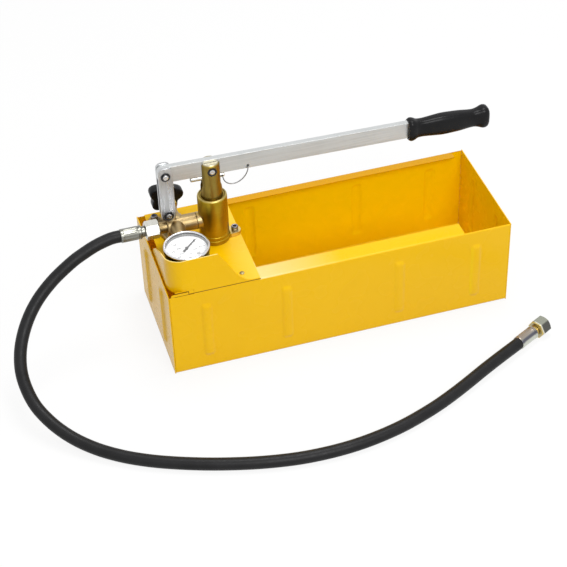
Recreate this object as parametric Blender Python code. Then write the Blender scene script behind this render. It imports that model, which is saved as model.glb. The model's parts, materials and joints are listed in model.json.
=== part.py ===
"""Hydrostatic test pump: an open sheet steel tank with a brass hand pump, a gauge and a discharge hose.

Metres, +Z up. The origin is the middle of the tank's underside, the front is -Y and the pump end is -X.
"""

import math

import bmesh
import bpy
from mathutils import Matrix, Vector

# Fits
GAP = 0.0003  # between pieces that seat on each other
RUN = 0.0004  # beside pieces that move past each other
OVERRUN = 0.002  # how far a cutter passes the face it cuts
SKIN = 0.0001  # keeps joined shapes from sharing a face
SHARP_ANGLE = math.radians(35)
FLATNESS = math.radians(0.05)
LARGE_SIDES = 26
SMALL_SIDES = 14

# Tank
TANK_LENGTH = 0.500
TANK_WIDTH = 0.190
TANK_HEIGHT = 0.140
SHEET = 0.0015
BEND_RADIUS = 0.003
FRONT_FLANGE = 0.025
BACK_FLANGE = 0.015
FRONT_FLANGE_START = 0.036  # from the tank's left face
FRONT_FLANGE_STOP = 0.070  # from the tank's right face
BACK_FLANGE_START = 0.030
BACK_FLANGE_STOP = 0.018
TAB_START = 0.010
TAB_HEIGHT = 0.006
RIM_BOW = 0.0035  # how far the left wall's rim rises at its middle
SIDE_RIB_SHARES = (0.104, 0.334, 0.666, 0.896)  # of the tank's length, from its left face
END_RIB_SHARES = (0.263, 0.737)  # of the tank's width, from its front face
RIB_BOTTOM = 0.020
RIB_TOP_MARGIN = 0.022
RIB_FLAT = 0.008
RIB_FLANK = 0.005
RIB_DEPTH = 0.003
RIB_FLANK_SHARES = (0.0, 0.5, 1.0)
BEND_SHARES = (0.5, 1.0)  # how far round a bend its lines lie

# Deck and its guard
DECK_RIGHT = 0.131  # from the tank's left face
DECK_LEFT = 0.011
DECK_BACK_MARGIN = 0.002
GUARD_LEFT = 0.003
GUARD_CORNER = 0.028
GUARD_HEIGHT = 0.0562
GUARD_CREST_END = 0.073
GUARD_SLOPE = 0.045
GUARD_CORNER_STEPS = 8
GUARD_SLOPE_SHARES = ((0.0, 1.0), (0.04, 0.95), (0.24, 0.70), (0.44, 0.41), (0.55, 0.265), (0.70, 0.12),
                      (0.85, 0.035), (1.0, 0.0))
FLAP_END = 0.104  # from the tank's front face
FLAP_SHARES = ((0.0, 0.88), (0.25, 0.74), (0.45, 0.59), (0.68, 0.42), (0.84, 0.25), (0.95, 0.08), (1.0, 0.0))
SCREW_FAR = 0.109  # from the tank's left face
SCREW_NEAR = 0.050
SCREW_FRONT_INSET = 0.017
SCREW_BACK_INSET = 0.008
SCREW_DIAMETER = 0.004
SCREW_HEAD_DIAMETER = 0.0068
SCREW_HEAD_HEIGHT = 0.0016
SCREW_LENGTH = 0.006

# Pump barrel
PUMP_FROM_LEFT = 0.0945
PUMP_FROM_FRONT = 0.107
BARREL_DIAMETER = 0.042
BARREL_HEIGHT = 0.0759
BARREL_RIM_ROUND = 0.003
BARREL_FLOOR = 0.010
CHAMBER_DIAMETER = 0.032
FOOT_DIAMETER = 0.0436
FOOT_THICKNESS = 0.006
FOOT_LINE_HEIGHT = 0.0125
FOOT_LINE_DEPTH = 0.0006
EAR_RADIUS = 0.0085
EAR_REACH = 0.0293
STUB_REACH = 0.0245
SPIGOT_DIAMETER = 0.026
SPIGOT_LENGTH = 0.014
SEAL_POCKET_DIAMETER = 0.037
SEAL_HEIGHT = 0.006
GLAND_HEIGHT = 0.0072
GLAND_RECESS = 0.001

# Piston
PISTON_DIAMETER = 0.030
PISTON_HEAD_DIAMETER = 0.0274
PISTON_TOP_RISE = 0.0107  # above the piston's pin
PISTON_NECK_RISE = 0.020  # above the barrel
PISTON_NECK_DROP = 0.005
PISTON_CHAMFER = 0.0012
PISTON_TOP_CHAMFER = 0.002
SLOT_WIDTH = 0.0090
SLOT_DEPTH = 0.045
PIN_DIAMETER = 0.008
PIN_FIT = 0.0003
CLIP_DIAMETER = 0.0135
CLIP_THICKNESS = 0.001

# Linkage
LINK_SPAN = 0.0641  # from the links' axis to the barrel's
LINK_LENGTH = 0.066
LINK_WIDTH = 0.020
LINK_THICKNESS = 0.004
LINK_TOP_REACH = 0.014
LINK_CORNER = 0.007
PISTON_PIN_DROP = 0.0037  # below the links' top pin
LEVER_TILT = math.radians(1.2)
LEVER_HEIGHT = 0.025
LEVER_THICKNESS = 0.008
LEVER_LEFT_REACH = 0.0098  # from the top pin to the left end
LEVER_LEFT_CORNER = 0.007
LEVER_REACH = 0.458  # from the top pin to the end inside the grip
TANG_HEIGHT = 0.018  # the bar is narrower inside the grip
TANG_CORNER = 0.003
OPEN_PIVOT_DIAMETER = 0.0117  # the clearance hole of the one pivot that the motion leaves open
OPEN_PIVOT_BACK = 0.0014
OPEN_PIVOT_DROP = 0.0004
PIN_PROUD = 0.0014  # how far a link pin stands past its straps, clip included
PIN_END = 0.0008

# Grip
GRIP_LENGTH = 0.120
GRIP_SOLID_END = 0.0123  # past the bar's end
GRIP_DROP = 0.001  # below the bar's middle
GRIP_MOUTH = 0.004  # how far the bar's full height reaches into the grip
GRIP_SIDES = 16
GRIP_SECTION_SHARES = (  # along the length, then the height as a share of the tallest section
    (0.0, 0.86), (0.02, 0.97), (0.045, 1.0), (0.08, 0.93), (0.11, 0.82), (0.15, 0.785), (0.20, 0.79),
    (0.30, 0.853), (0.42, 0.92), (0.55, 0.90), (0.66, 0.853), (0.76, 0.776), (0.82, 0.762), (0.87, 0.833),
    (0.925, 0.935), (0.96, 0.91), (0.985, 0.80), (1.0, 0.60))
GRIP_THICKNESS_SHARE = 0.68
GRIP_HEIGHT = 0.034
GRIP_SQUARENESS = 3.0

# Locking pin and its tether
LOCK_PIN_DIAMETER = 0.0078
LOCK_PIN_LENGTH = 0.048
LOCK_PIN_LEFT = 0.0285  # left of the barrel's axis
LOCK_PIN_DROP = 0.0012
LOCK_PIN_CHAMFER = 0.001
LOCK_PIN_EYE = 0.0026
LOCK_PIN_EYE_INSET = 0.0035
TETHER_DIAMETER = 0.0018
TETHER_HOLE = 0.004
TETHER_REACH = 0.1168  # from the top pin to the tether's hole
TETHER_HOLE_RISE = 0.0042  # above the lever's lower edge
TETHER_SAG = 0.0176
TETHER_BACK_SAG = 0.002  # the strand behind the lever hangs less
TETHER_POINTS = 9
TETHER_SWELL = 0.003  # how far the loop stands out in front of the lever

# Manifold
ARM_HEIGHT = 0.0352  # the arm's axis above the deck
ARM_DIAMETER = 0.024
ARM_LEFT = 0.0675  # the arm's left face, from the barrel's axis
ARM_BORE = 0.008
VALVE_BORE = 0.011
VALVE_LENGTH = 0.0227
VALVE_PORT = 0.006
LUG_PIN_RISE = 0.024
LUG_RADIUS = 0.009
LUG_FLARE = 0.0105
COLUMN_BACK = 0.010  # behind the arm's axis
COLUMN_RIGHT = 0.0101  # right of the links' axis
COLUMN_DIAMETER = 0.022
BACK_BOLT_LEFT = 0.0728  # from the barrel's axis
BACK_BOLT_INSET = 0.024  # from the tank's back face
RELIEF_LEFT = 0.0525
RELIEF_RISE = 0.002
RELIEF_BARREL_DIAMETER = 0.022
RELIEF_BARREL_LENGTH = 0.038
RELIEF_BORE = 0.0108
RELIEF_SEAT = 0.010  # from the arm's axis to the spindle's seat
RELIEF_PORT = 0.005
GAUGE_LEFT = 0.0545
GAUGE_BOSS_LENGTH = 0.027
GAUGE_BOSS_BASE = 0.022
GAUGE_BOSS_DIAMETER = 0.018
GAUGE_THREAD = 0.012
GAUGE_THREAD_DEPTH = 0.009

# Relief spindle, its gland and the star knob
RELIEF_GLAND_AF = 0.019
RELIEF_GLAND_LENGTH = 0.009
SPINDLE_DIAMETER = 0.010
SPINDLE_TIP = 0.004
KNOB_FACE = 0.0610  # the knob's star begins this far behind the arm's axis
KNOB_HUB_LENGTH = 0.007
KNOB_HUB_DIAMETER = 0.021
KNOB_THICKNESS = 0.015
KNOB_TIP_RADIUS = 0.0255
KNOB_NOTCH_RADIUS = 0.0190
KNOB_LOBES = 5
KNOB_LOBE_POINTS = 6
KNOB_FIRST_TIP = math.radians(150)
KNOB_EDGE = 0.0025
KNOB_EDGE_SHARES = (0.0, 0.75, 1.0)
KNOB_LOBE_ROUNDNESS = 0.8  # below one, the lobes are broad and the notches narrow
KNOB_SOCKET = 0.010

# Gauge
GAUGE_DIAMETER = 0.064
GAUGE_FRONT_SETBACK = 0.0645  # the gauge's centre in front of the arm's axis
GAUGE_DEPTH = 0.028
GAUGE_TOP_RISE = 0.0135  # above the arm's axis
BEZEL_HEIGHT = 0.0072
BEZEL_LIP = 0.0032
BEZEL_THICKNESS = 0.0012
CASE_WALL = 0.0012
LENS_THICKNESS = 0.0015
LENS_DROP = 0.0022
DIAL_DROP = 0.0075
DIAL_THICKNESS = 0.0006
NEEDLE_LENGTH = 0.0235
NEEDLE_TAIL = 0.008
NEEDLE_TAIL_WIDTH = 0.003
NEEDLE_THICKNESS = 0.0005
NEEDLE_RISE = 0.0012
NEEDLE_HUB = 0.005
NEEDLE_HUB_HEIGHT = 0.0018
NEEDLE_SHAFT = 0.002
NEEDLE_SHAFT_LENGTH = 0.006
NEEDLE_ZERO = math.radians(45)
STEM_AF = 0.014
STEM_HEX_LENGTH = 0.0045
STEM_INNER_DIAMETER = 0.009
STEM_INNER_REACH = 0.010
BOURDON_RADIUS = 0.024
BOURDON_TUBE = 0.005
BOURDON_START = math.radians(77)
BOURDON_SWEEP = math.radians(250)
BOURDON_POINTS = 16

# Fasteners of the pump
BOLT_DIAMETER = 0.006
BOLT_HEAD_DIAMETER = 0.010
BOLT_HEAD_HEIGHT = 0.006
BOLT_SOCKET_AF = 0.005
BOLT_SOCKET_DEPTH = 0.003
BOLT_LENGTH = 0.018
BOLT_SIDES = 18
NUT_AF = 0.010
NUT_HEIGHT = 0.005
WASHER_DIAMETER = 0.012
WASHER_THICKNESS = 0.0016

# Outlet and hose fittings
NIPPLE_NECK_DIAMETER = 0.017
NIPPLE_NECK_LENGTH = 0.0107
NIPPLE_THREAD_DIAMETER = 0.0162
NIPPLE_THREAD_LENGTH = 0.0122
NIPPLE_BORE = 0.006
NIPPLE_PLUG_LENGTH = 0.008
NIPPLE_PLUG_DIAMETER = 0.012
SEALING_WASHER_THICKNESS = 0.0015
UNION_AF = 0.024
UNION_LENGTH = 0.020
UNION_BORE = 0.0170
UNION_SHOULDER = 0.003
UNION_CHAMFER = 0.0015
TAIL_FLANGE_DIAMETER = 0.0160
TAIL_FLANGE_LENGTH = 0.0025
TAIL_STEM_DIAMETER = 0.012
TAIL_COLLAR_DIAMETER = 0.0155
TAIL_COLLAR_LENGTH = 0.0042
TAIL_BARB_DIAMETER = 0.010
TAIL_BORE = 0.005
FERRULE_DIAMETER = 0.0195
FERRULE_LENGTH = 0.030
FERRULE_CRIMP_DEPTH = 0.0005
FERRULE_CRIMPS = 2
FAR_FERRULE_LENGTH = 0.033
FAR_COLLAR_LENGTH = 0.0042
FAR_FITTING_ANGLE = math.radians(28)

# Suction side inside the tank
SUCTION_SOCKET = 0.016
SUCTION_SOCKET_DEPTH = 0.010
SUCTION_BODY_AF = 0.024
SUCTION_BODY_LENGTH = 0.030
SUCTION_STUB_LENGTH = 0.0088
SUCTION_SEAT_HEIGHT = 0.009
SUCTION_TUBE_DIAMETER = 0.012
SUCTION_TUBE_WALL = 0.0015
SUCTION_TUBE_SOCKET = 0.0065
STRAINER_DIAMETER = 0.026
STRAINER_HEIGHT = 0.026
STRAINER_CLEAR = 0.008
STRAINER_WALL = 0.002
STRAINER_SLOT = 0.0025
STRAINER_SLOTS = 4
STRAINER_RIM = 0.005
RETURN_TUBE_DIAMETER = 0.010
RETURN_TUBE_WALL = 0.0015
RETURN_TUBE_END = 0.085
RETURN_SOCKET_DEPTH = 0.006
BALL_DIAMETER = 0.009
SPRING_DIAMETER = 0.0086
SPRING_WIRE = 0.001
SUCTION_SPRING_TURNS = 5
DISCHARGE_SPRING_TURNS = 4
SPRING_TURN_POINTS = 8

# Hose
HOSE_DIAMETER = 0.0175
HOSE_STEP = 0.044
HOSE_STRAIGHT = 0.008
CURVE_SAMPLES = 24
MILLIMETRE = 0.001
HOSE_ROUTE_MM = (
    (-289.3, 12, 177), (-307, 11.5, 175.8), (-325.4, 8.5, 172.2), (-344, 4, 166.5), (-362, -1, 159.7),
    (-392.5, -12, 144), (-419.6, -27, 125.7), (-441, -47, 105), (-455.5, -71.4, 83), (-460.5, -99.5, 62.3),
    (-454, -132.5, 42.2), (-438, -162, 28.2), (-416, -189.3, 18.4), (-389.5, -214, 12.6), (-360.3, -235.5, 10),
    (-329.4, -253.6, 9), (-297.5, -268.8, 8.8), (-261.4, -283.2, 8.8), (-228.5, -294.2, 8.8),
    (-191.7, -304.3, 8.8), (-154.5, -311.8, 8.8), (-120.4, -315.8, 8.8), (-81.6, -316.6, 8.8),
    (-45.9, -313.8, 8.8), (-9.4, -307.3, 8.8), (23.7, -298.3, 8.8), (61.4, -284.3, 8.8), (91, -271, 9),
    (124.5, -254, 9.8), (158, -236, 11), (190.5, -219.3, 11.9), (223.4, -202.6, 12.3))

# Places worked out from the sizes
LEFT = -TANK_LENGTH / 2
FRONT = -TANK_WIDTH / 2
RIB_TOP = TANK_HEIGHT - RIB_TOP_MARGIN
FRONT_FLANGE_END = TANK_LENGTH - FRONT_FLANGE_STOP
BACK_FLANGE_END = TANK_LENGTH - BACK_FLANGE_STOP
SCREW_PLACES = ((LEFT + SCREW_FAR, FRONT + SCREW_FRONT_INSET), (LEFT + SCREW_NEAR, FRONT + SCREW_FRONT_INSET),
                (LEFT + SCREW_FAR, -FRONT - SCREW_BACK_INSET))
DECK_BOTTOM = TANK_HEIGHT + GAP
DECK_TOP = DECK_BOTTOM + SHEET
FOOT_BOTTOM = DECK_TOP + GAP
PUMP_X = LEFT + PUMP_FROM_LEFT
PUMP_Y = FRONT + PUMP_FROM_FRONT
BARREL_TOP = FOOT_BOTTOM + BARREL_HEIGHT
ARM_Z = DECK_TOP + ARM_HEIGHT
LINK_X = PUMP_X - LINK_SPAN
LINK_BASE_Z = ARM_Z + LUG_PIN_RISE
LINK_TOP_Z = LINK_BASE_Z + LINK_LENGTH
PISTON_PIN_Z = LINK_TOP_Z - PISTON_PIN_DROP
GRIP_START = LEVER_REACH + GRIP_SOLID_END - GRIP_LENGTH
STRAP_INNER = LEVER_THICKNESS / 2 + RUN
STRAP_OUTER = STRAP_INNER + LINK_THICKNESS
GAUGE_X = PUMP_X - GAUGE_LEFT
GAUGE_Y = PUMP_Y - GAUGE_FRONT_SETBACK
GAUGE_TOP = ARM_Z + GAUGE_TOP_RISE
RELIEF_X = PUMP_X - RELIEF_LEFT
RELIEF_Z = ARM_Z + RELIEF_RISE
ARM_LEFT_X = PUMP_X - ARM_LEFT
FRONT_BOLT = (PUMP_X + EAR_REACH, PUMP_Y - FOOT_LINE_DEPTH)
BACK_BOLT = (PUMP_X - BACK_BOLT_LEFT, -FRONT - BACK_BOLT_INSET)
COLUMN_X = LINK_X + COLUMN_RIGHT
COLUMN_Y = PUMP_Y + COLUMN_BACK

MATERIALS = {}


def clear_scene():
    for obj in list(bpy.data.objects):
        bpy.data.objects.remove(obj, do_unlink=True)


def material(name, color, roughness, metallic):
    """A plain Principled material, made once for each name."""
    if name not in MATERIALS:
        made = bpy.data.materials.new(name)
        made.use_nodes = True
        shader = made.node_tree.nodes["Principled BSDF"]
        shader.inputs["Base Color"].default_value = (*color, 1.0)
        shader.inputs["Roughness"].default_value = roughness
        shader.inputs["Metallic"].default_value = metallic
        MATERIALS[name] = made
    return MATERIALS[name]


def yellow_paint():
    return material("yellow_paint", (0.86, 0.52, 0.005), 0.35, 0.0)


def brass():
    return material("brass", (0.55, 0.36, 0.10), 0.32, 1.0)


def steel():
    return material("zinc_steel", (0.60, 0.60, 0.58), 0.35, 1.0)


def black_plastic():
    return material("black_plastic", (0.015, 0.015, 0.016), 0.45, 0.0)


def hose_rubber():
    return material("hose_rubber", (0.02, 0.02, 0.02), 0.6, 0.0)


def seal_rubber():
    return material("seal_rubber", (0.03, 0.03, 0.03), 0.7, 0.0)


def chrome():
    return material("chrome", (0.8, 0.8, 0.8), 0.12, 1.0)


def dial_white():
    return material("dial_white", (0.85, 0.85, 0.85), 0.5, 0.0)


def clear_lens():
    return material("clear_lens", (0.95, 0.95, 0.95), 0.05, 0.0)


def copper():
    return material("copper", (0.70, 0.33, 0.18), 0.35, 1.0)


def turn_to(axis):
    """A rotation that sends +Z to the named axis."""
    turns = {"+Z": Matrix.Identity(4), "+X": Matrix.Rotation(math.pi / 2, 4, "Y"),
             "-X": Matrix.Rotation(-math.pi / 2, 4, "Y"), "+Y": Matrix.Rotation(-math.pi / 2, 4, "X"),
             "-Y": Matrix.Rotation(math.pi / 2, 4, "X"), "-Z": Matrix.Rotation(math.pi, 4, "X")}
    return turns[axis]


def at(x, y, z, axis="+Z"):
    """The place of a shape whose own axis is +Z."""
    return Matrix.Translation((x, y, z)) @ turn_to(axis)


def arc(center_x, center_y, radius, start, end, steps):
    """Points along an arc in a plane, angles in radians, both ends included."""
    points = []
    for step in range(steps + 1):
        angle = start + (end - start) * step / steps
        points.append((center_x + radius * math.cos(angle), center_y + radius * math.sin(angle)))
    return points


def loft(bm, rings, place, closed=False):
    """Join rings of points, one after the other. A ring of one point is a pole, open ends get caps."""
    made = [[bm.verts.new(place @ Vector(point)) for point in ring] for ring in rings]
    pairs = list(zip(made, made[1:]))
    if closed:
        pairs.append((made[-1], made[0]))
    for first, second in pairs:
        count = max(len(first), len(second))
        for i in range(count):
            j = (i + 1) % count
            corners = [first[i % len(first)], first[j % len(first)],
                       second[j % len(second)], second[i % len(second)]]
            face = [v for k, v in enumerate(corners) if v is not corners[k - 1]]
            if len(face) > 2:
                bm.faces.new(face)
    if not closed:
        for ring in (made[0], made[-1]):
            if len(ring) > 2:
                bm.faces.new(ring)


def circle(radius, height, sides):
    """A ring of points about Z, or the pole where the radius is zero."""
    if radius == 0:
        return [(0, 0, height)]
    return [(radius * math.cos(math.tau * k / sides), radius * math.sin(math.tau * k / sides), height)
            for k in range(sides)]


def turned(bm, outline, place, sides=LARGE_SIDES, closed=False):
    """Turn an outline of (radius, height) points about the place's own Z."""
    loft(bm, [circle(radius, height, sides) for radius, height in outline], place, closed)


def rod(bm, radius, bottom, top, place, sides=LARGE_SIDES):
    turned(bm, ((radius, bottom), (radius, top)), place, sides)


def tube(bm, radius, bore, bottom, top, place, sides=LARGE_SIDES):
    turned(bm, ((bore, bottom), (radius, bottom), (radius, top), (bore, top)), place, sides, closed=True)


def box(bm, low, high, place=None):
    """A block between two corners."""
    x0, y0, z0 = low
    x1, y1, z1 = high
    rings = [[(x0, y0, z), (x1, y0, z), (x1, y1, z), (x0, y1, z)] for z in (z0, z1)]
    loft(bm, rings, place or Matrix.Identity(4))


def prism(bm, outline, bottom, top, place, holes=()):
    """Raise a flat outline, with its holes, from one height to another."""
    work = bmesh.new()
    edges = []
    for loop in (outline, *holes):
        corners = [work.verts.new((x, y, bottom)) for x, y in loop]
        edges += [work.edges.new((a, b)) for a, b in zip(corners, corners[1:] + corners[:1])]
    filled = bmesh.ops.triangle_fill(work, edges=edges, use_beauty=True, normal=(0, 0, 1))
    faces = [item for item in filled["geom"] if isinstance(item, bmesh.types.BMFace)]
    raised = bmesh.ops.extrude_face_region(work, geom=faces)
    moved = [item for item in raised["geom"] if isinstance(item, bmesh.types.BMVert)]
    bmesh.ops.translate(work, verts=moved, vec=(0, 0, top - bottom))
    bmesh.ops.transform(work, matrix=place, verts=work.verts)
    bmesh.ops.recalc_face_normals(work, faces=work.faces)
    scratch = bpy.data.meshes.new("prism")
    work.to_mesh(scratch)
    work.free()
    bm.from_mesh(scratch)
    bpy.data.meshes.remove(scratch)


def round_outline(radius, sides, x=0.0, y=0.0):
    return [(x + radius * math.cos(math.tau * k / sides), y + radius * math.sin(math.tau * k / sides))
            for k in range(sides)]


def hexagon(across_flats, turn=0.0):
    radius = across_flats / math.sqrt(3)
    return [(radius * math.cos(math.tau * k / 6 + turn), radius * math.sin(math.tau * k / 6 + turn))
            for k in range(6)]


def stadium(start, end, start_radius, end_radius, steps):
    """The outline round two circles of their own radii, joined by their tangents."""
    run = Vector(end) - Vector(start)
    heading = math.atan2(run.y, run.x)
    lean = math.acos((start_radius - end_radius) / run.length)
    tail = arc(*start, start_radius, heading + lean, heading + math.tau - lean, steps)
    head = arc(*end, end_radius, heading - lean, heading + lean, steps)
    return tail + head


def tangent_wrap(points, wanted):
    """Points evenly spaced along a smooth curve through the chosen points."""
    points = [Vector(p) for p in points]
    ends = [points[0] * 2 - points[1], *points, points[-1] * 2 - points[-2]]
    fine = [points[0]]
    for k in range(1, len(ends) - 2):
        a, b, c, d = ends[k - 1:k + 3]
        for step in range(1, CURVE_SAMPLES + 1):
            t = step / CURVE_SAMPLES
            fine.append((b * 2 + (c - a) * t + (a * 2 - b * 5 + c * 4 - d) * t * t
                         + (b * 3 - a - c * 3 + d) * t * t * t) / 2)
    lengths = [0.0]
    for a, b in zip(fine, fine[1:]):
        lengths.append(lengths[-1] + (b - a).length)
    count = max(2, round(lengths[-1] / wanted))
    even = []
    place = 0
    for k in range(count + 1):
        target = lengths[-1] * k / count
        while place < len(lengths) - 2 and lengths[place + 1] < target:
            place += 1
        share = (target - lengths[place]) / (lengths[place + 1] - lengths[place])
        even.append(fine[place].lerp(fine[place + 1], share))
    return even


def new_object(name, data, parent=None, location=(0, 0, 0), rotation=(0, 0, 0)):
    obj = bpy.data.objects.new(name, data)
    bpy.context.scene.collection.objects.link(obj)
    obj.parent = parent
    obj.location = location
    obj.rotation_euler = rotation
    return obj


def pivot(name, location, rotation=(0, 0, 0), parent=None):
    """An empty on a joint's axis, which carries the pieces that move with the joint."""
    return new_object(name, None, parent, location, rotation)


def shade(mesh, smooth):
    if smooth:
        mesh.shade_smooth()
        mesh.set_sharp_from_angle(angle=SHARP_ANGLE)


def piece(name, bm, finish, parent=None, location=(0, 0, 0), rotation=(0, 0, 0), smooth=True):
    """Turn a bmesh into the named object."""
    bmesh.ops.recalc_face_normals(bm, faces=bm.faces)
    mesh = bpy.data.meshes.new(name)
    bm.to_mesh(mesh)
    bm.free()
    mesh.materials.append(finish)
    shade(mesh, smooth)
    return new_object(name, mesh, parent, location, rotation)


def combine(obj, label, bm, operation, solver="EXACT"):
    """Join a shape to the object, cut it away or keep what both share."""
    tool = piece(f"{obj.name}.{label}", bm, obj.data.materials[0], obj.parent, obj.location,
                 obj.rotation_euler, smooth=False)
    tool.hide_render = True
    tool.display_type = "WIRE"
    step = obj.modifiers.new(label, "BOOLEAN")
    step.operation = operation
    step.solver = solver
    step.object = tool


def tube_curve(name, points, diameter, finish, resolution, parent=None, location=(0, 0, 0), cyclic=False):
    """A curve with a round bevel and filled caps through the points."""
    data = bpy.data.curves.new(name, "CURVE")
    data.dimensions = "3D"
    data.bevel_depth = diameter / 2
    data.bevel_resolution = resolution
    data.use_fill_caps = not cyclic
    line = data.splines.new("POLY")
    line.points.add(len(points) - 1)
    for target, point in zip(line.points, points):
        target.co = (*point, 1)
    line.use_cyclic_u = cyclic
    line.use_smooth = True
    data.materials.append(finish)
    return new_object(name, data, parent, location)


def rib_stations(center):
    """Where the wall's mesh needs a line across one rib, from its left foot to its right foot."""
    half = RIB_FLAT / 2
    left = [(center - half - RIB_FLANK * (1 - s)) for s in RIB_FLANK_SHARES]
    right = [(center + half + RIB_FLANK * (1 - s)) for s in reversed(RIB_FLANK_SHARES)]
    return left + right


def rib_height(along, level, centers):
    """How far a pressed rib stands out at a place on the wall."""
    half = RIB_FLAT / 2 + RIB_FLANK
    best = 0.0
    for center in centers:
        low = RIB_BOTTOM + half
        high = RIB_TOP - half
        reach = math.hypot(along - center, level - min(max(level, low), high))
        share = min(1.0, max(0.0, (half - reach) / RIB_FLANK))
        best = max(best, share * share * (3 - 2 * share))
    return best * RIB_DEPTH


def wall_levels():
    """Heights at which the walls' mesh has a line, closer where the ribs' ends round off."""
    half = RIB_FLAT / 2 + RIB_FLANK
    lower = [RIB_BOTTOM, RIB_BOTTOM + RIB_FLANK / 2, RIB_BOTTOM + RIB_FLANK, RIB_BOTTOM + half]
    return lower + [RIB_BOTTOM + RIB_TOP - level for level in reversed(lower)]


def shell_solid(bm, outer, inner):
    """Close two skins of the same grid, outer[i][j] and inner[i][j], into one sheet."""
    skins = [[[bm.verts.new(p) for p in row] for row in skin] for skin in (outer, inner)]
    rows, columns = len(outer), len(outer[0])
    for skin in skins:
        for i in range(rows - 1):
            for j in range(columns - 1):
                bm.faces.new((skin[i][j], skin[i + 1][j], skin[i + 1][j + 1], skin[i][j + 1]))
    first, second = skins
    rim = [(i, 0) for i in range(rows)] + [(rows - 1, j) for j in range(1, columns)]
    rim += [(i, columns - 1) for i in range(rows - 2, -1, -1)] + [(0, j) for j in range(columns - 2, 0, -1)]
    for (a, b), (c, d) in zip(rim, rim[1:] + rim[:1]):
        bm.faces.new((first[a][b], first[c][d], second[c][d], second[a][b]))


def merge_flats(bm):
    """Join the grid's cells where they lie in one plane."""
    bmesh.ops.recalc_face_normals(bm, faces=bm.faces)
    bm.normal_update()
    bmesh.ops.dissolve_limit(bm, angle_limit=FLATNESS, verts=bm.verts, edges=bm.edges)


def trough_profile():
    """The trough's outer skin seen from its end: place, outward direction and whether ribs shape it."""
    half = TANK_WIDTH / 2
    low, high = BEND_RADIUS, TANK_HEIGHT - BEND_RADIUS
    side = []
    for share in BEND_SHARES:
        angle = math.pi / 2 * share
        side.append((half - low + low * math.sin(angle), high + low * math.cos(angle), math.sin(angle),
                     math.cos(angle), False))
    side += [(half, level, 1.0, 0.0, True) for level in reversed(wall_levels())]
    for share in (0, *BEND_SHARES):
        angle = math.pi / 2 * share
        side.append((half - low + low * math.cos(angle), low - low * math.sin(angle), math.cos(angle),
                     -math.sin(angle), False))
    bend = (half - low, TANK_HEIGHT, 0.0, 1.0, False)
    front = [(half - FRONT_FLANGE, TANK_HEIGHT, 0.0, 1.0, False), bend] + side
    back = [(half - BACK_FLANGE, TANK_HEIGHT, 0.0, 1.0, False), bend] + side
    return [(-y, z, -ny, nz, ribbed) for y, z, ny, nz, ribbed in front] + list(reversed(back))


def tank_trough():
    """Floor, front and back wall of one folded sheet, with pressed ribs and the flanges along the top."""
    centers = [LEFT + TANK_LENGTH * share for share in SIDE_RIB_SHARES]
    end = TANK_LENGTH / 2 - SHEET - GAP
    stations = [-end] + [x for center in centers for x in rib_stations(center)] + [end]
    outer, inner = [], []
    for x in stations:
        outer.append([])
        inner.append([])
        for y, z, ny, nz, ribbed in trough_profile():
            push = rib_height(x, z, centers) if ribbed else 0.0
            outer[-1].append((x, y + ny * push, z + nz * push))
            inner[-1].append((x, y + ny * (push - SHEET), z + nz * (push - SHEET)))
    bm = bmesh.new()
    shell_solid(bm, outer, inner)
    merge_flats(bm)
    trough = piece("tank_trough", bm, yellow_paint())
    cuts = bmesh.new()
    front_inner = FRONT + SHEET
    low, high = TANK_HEIGHT - BEND_RADIUS, TANK_HEIGHT + OVERRUN
    for start, stop in ((-OVERRUN, FRONT_FLANGE_START), (FRONT_FLANGE_END, TANK_LENGTH + OVERRUN)):
        box(cuts, (LEFT + start, front_inner, low), (LEFT + stop, FRONT + FRONT_FLANGE + OVERRUN, high))
    for start, stop in ((-OVERRUN, BACK_FLANGE_START), (BACK_FLANGE_END, TANK_LENGTH + OVERRUN)):
        box(cuts, (LEFT + start, -FRONT - BACK_FLANGE - OVERRUN, low), (LEFT + stop, -front_inner, high))
    combine(trough, "flange_ends", cuts, "DIFFERENCE")
    tab = bmesh.new()
    box(tab, (LEFT + TAB_START, FRONT + SKIN, TANK_HEIGHT - BEND_RADIUS * 2),
        (LEFT + FRONT_FLANGE_START, FRONT + SHEET - SKIN, TANK_HEIGHT + TAB_HEIGHT))
    combine(trough, "corner_tab", tab, "UNION")


def tank_end(name, side, bow):
    """An end wall of the tank, whose rim may rise towards its middle."""
    centers = [FRONT + TANK_WIDTH * share for share in END_RIB_SHARES]
    half = TANK_WIDTH / 2
    stations = [-half] + [y for center in centers for y in rib_stations(center)] + [half]
    stations.insert(len(stations) // 2, 0.0)
    levels = [0.0, *wall_levels(), TANK_HEIGHT]
    outer, inner = [], []
    for y in stations:
        outer.append([])
        inner.append([])
        for level in levels:
            z = level
            if level == TANK_HEIGHT:
                z += bow * (1 - (y / half) ** 2)
            push = rib_height(y, z, centers)
            x = side * (TANK_LENGTH / 2 + push)
            outer[-1].append((x, y, z))
            inner[-1].append((x - side * SHEET, y, z))
    bm = bmesh.new()
    shell_solid(bm, outer, inner)
    merge_flats(bm)
    piece(name, bm, yellow_paint())


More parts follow.
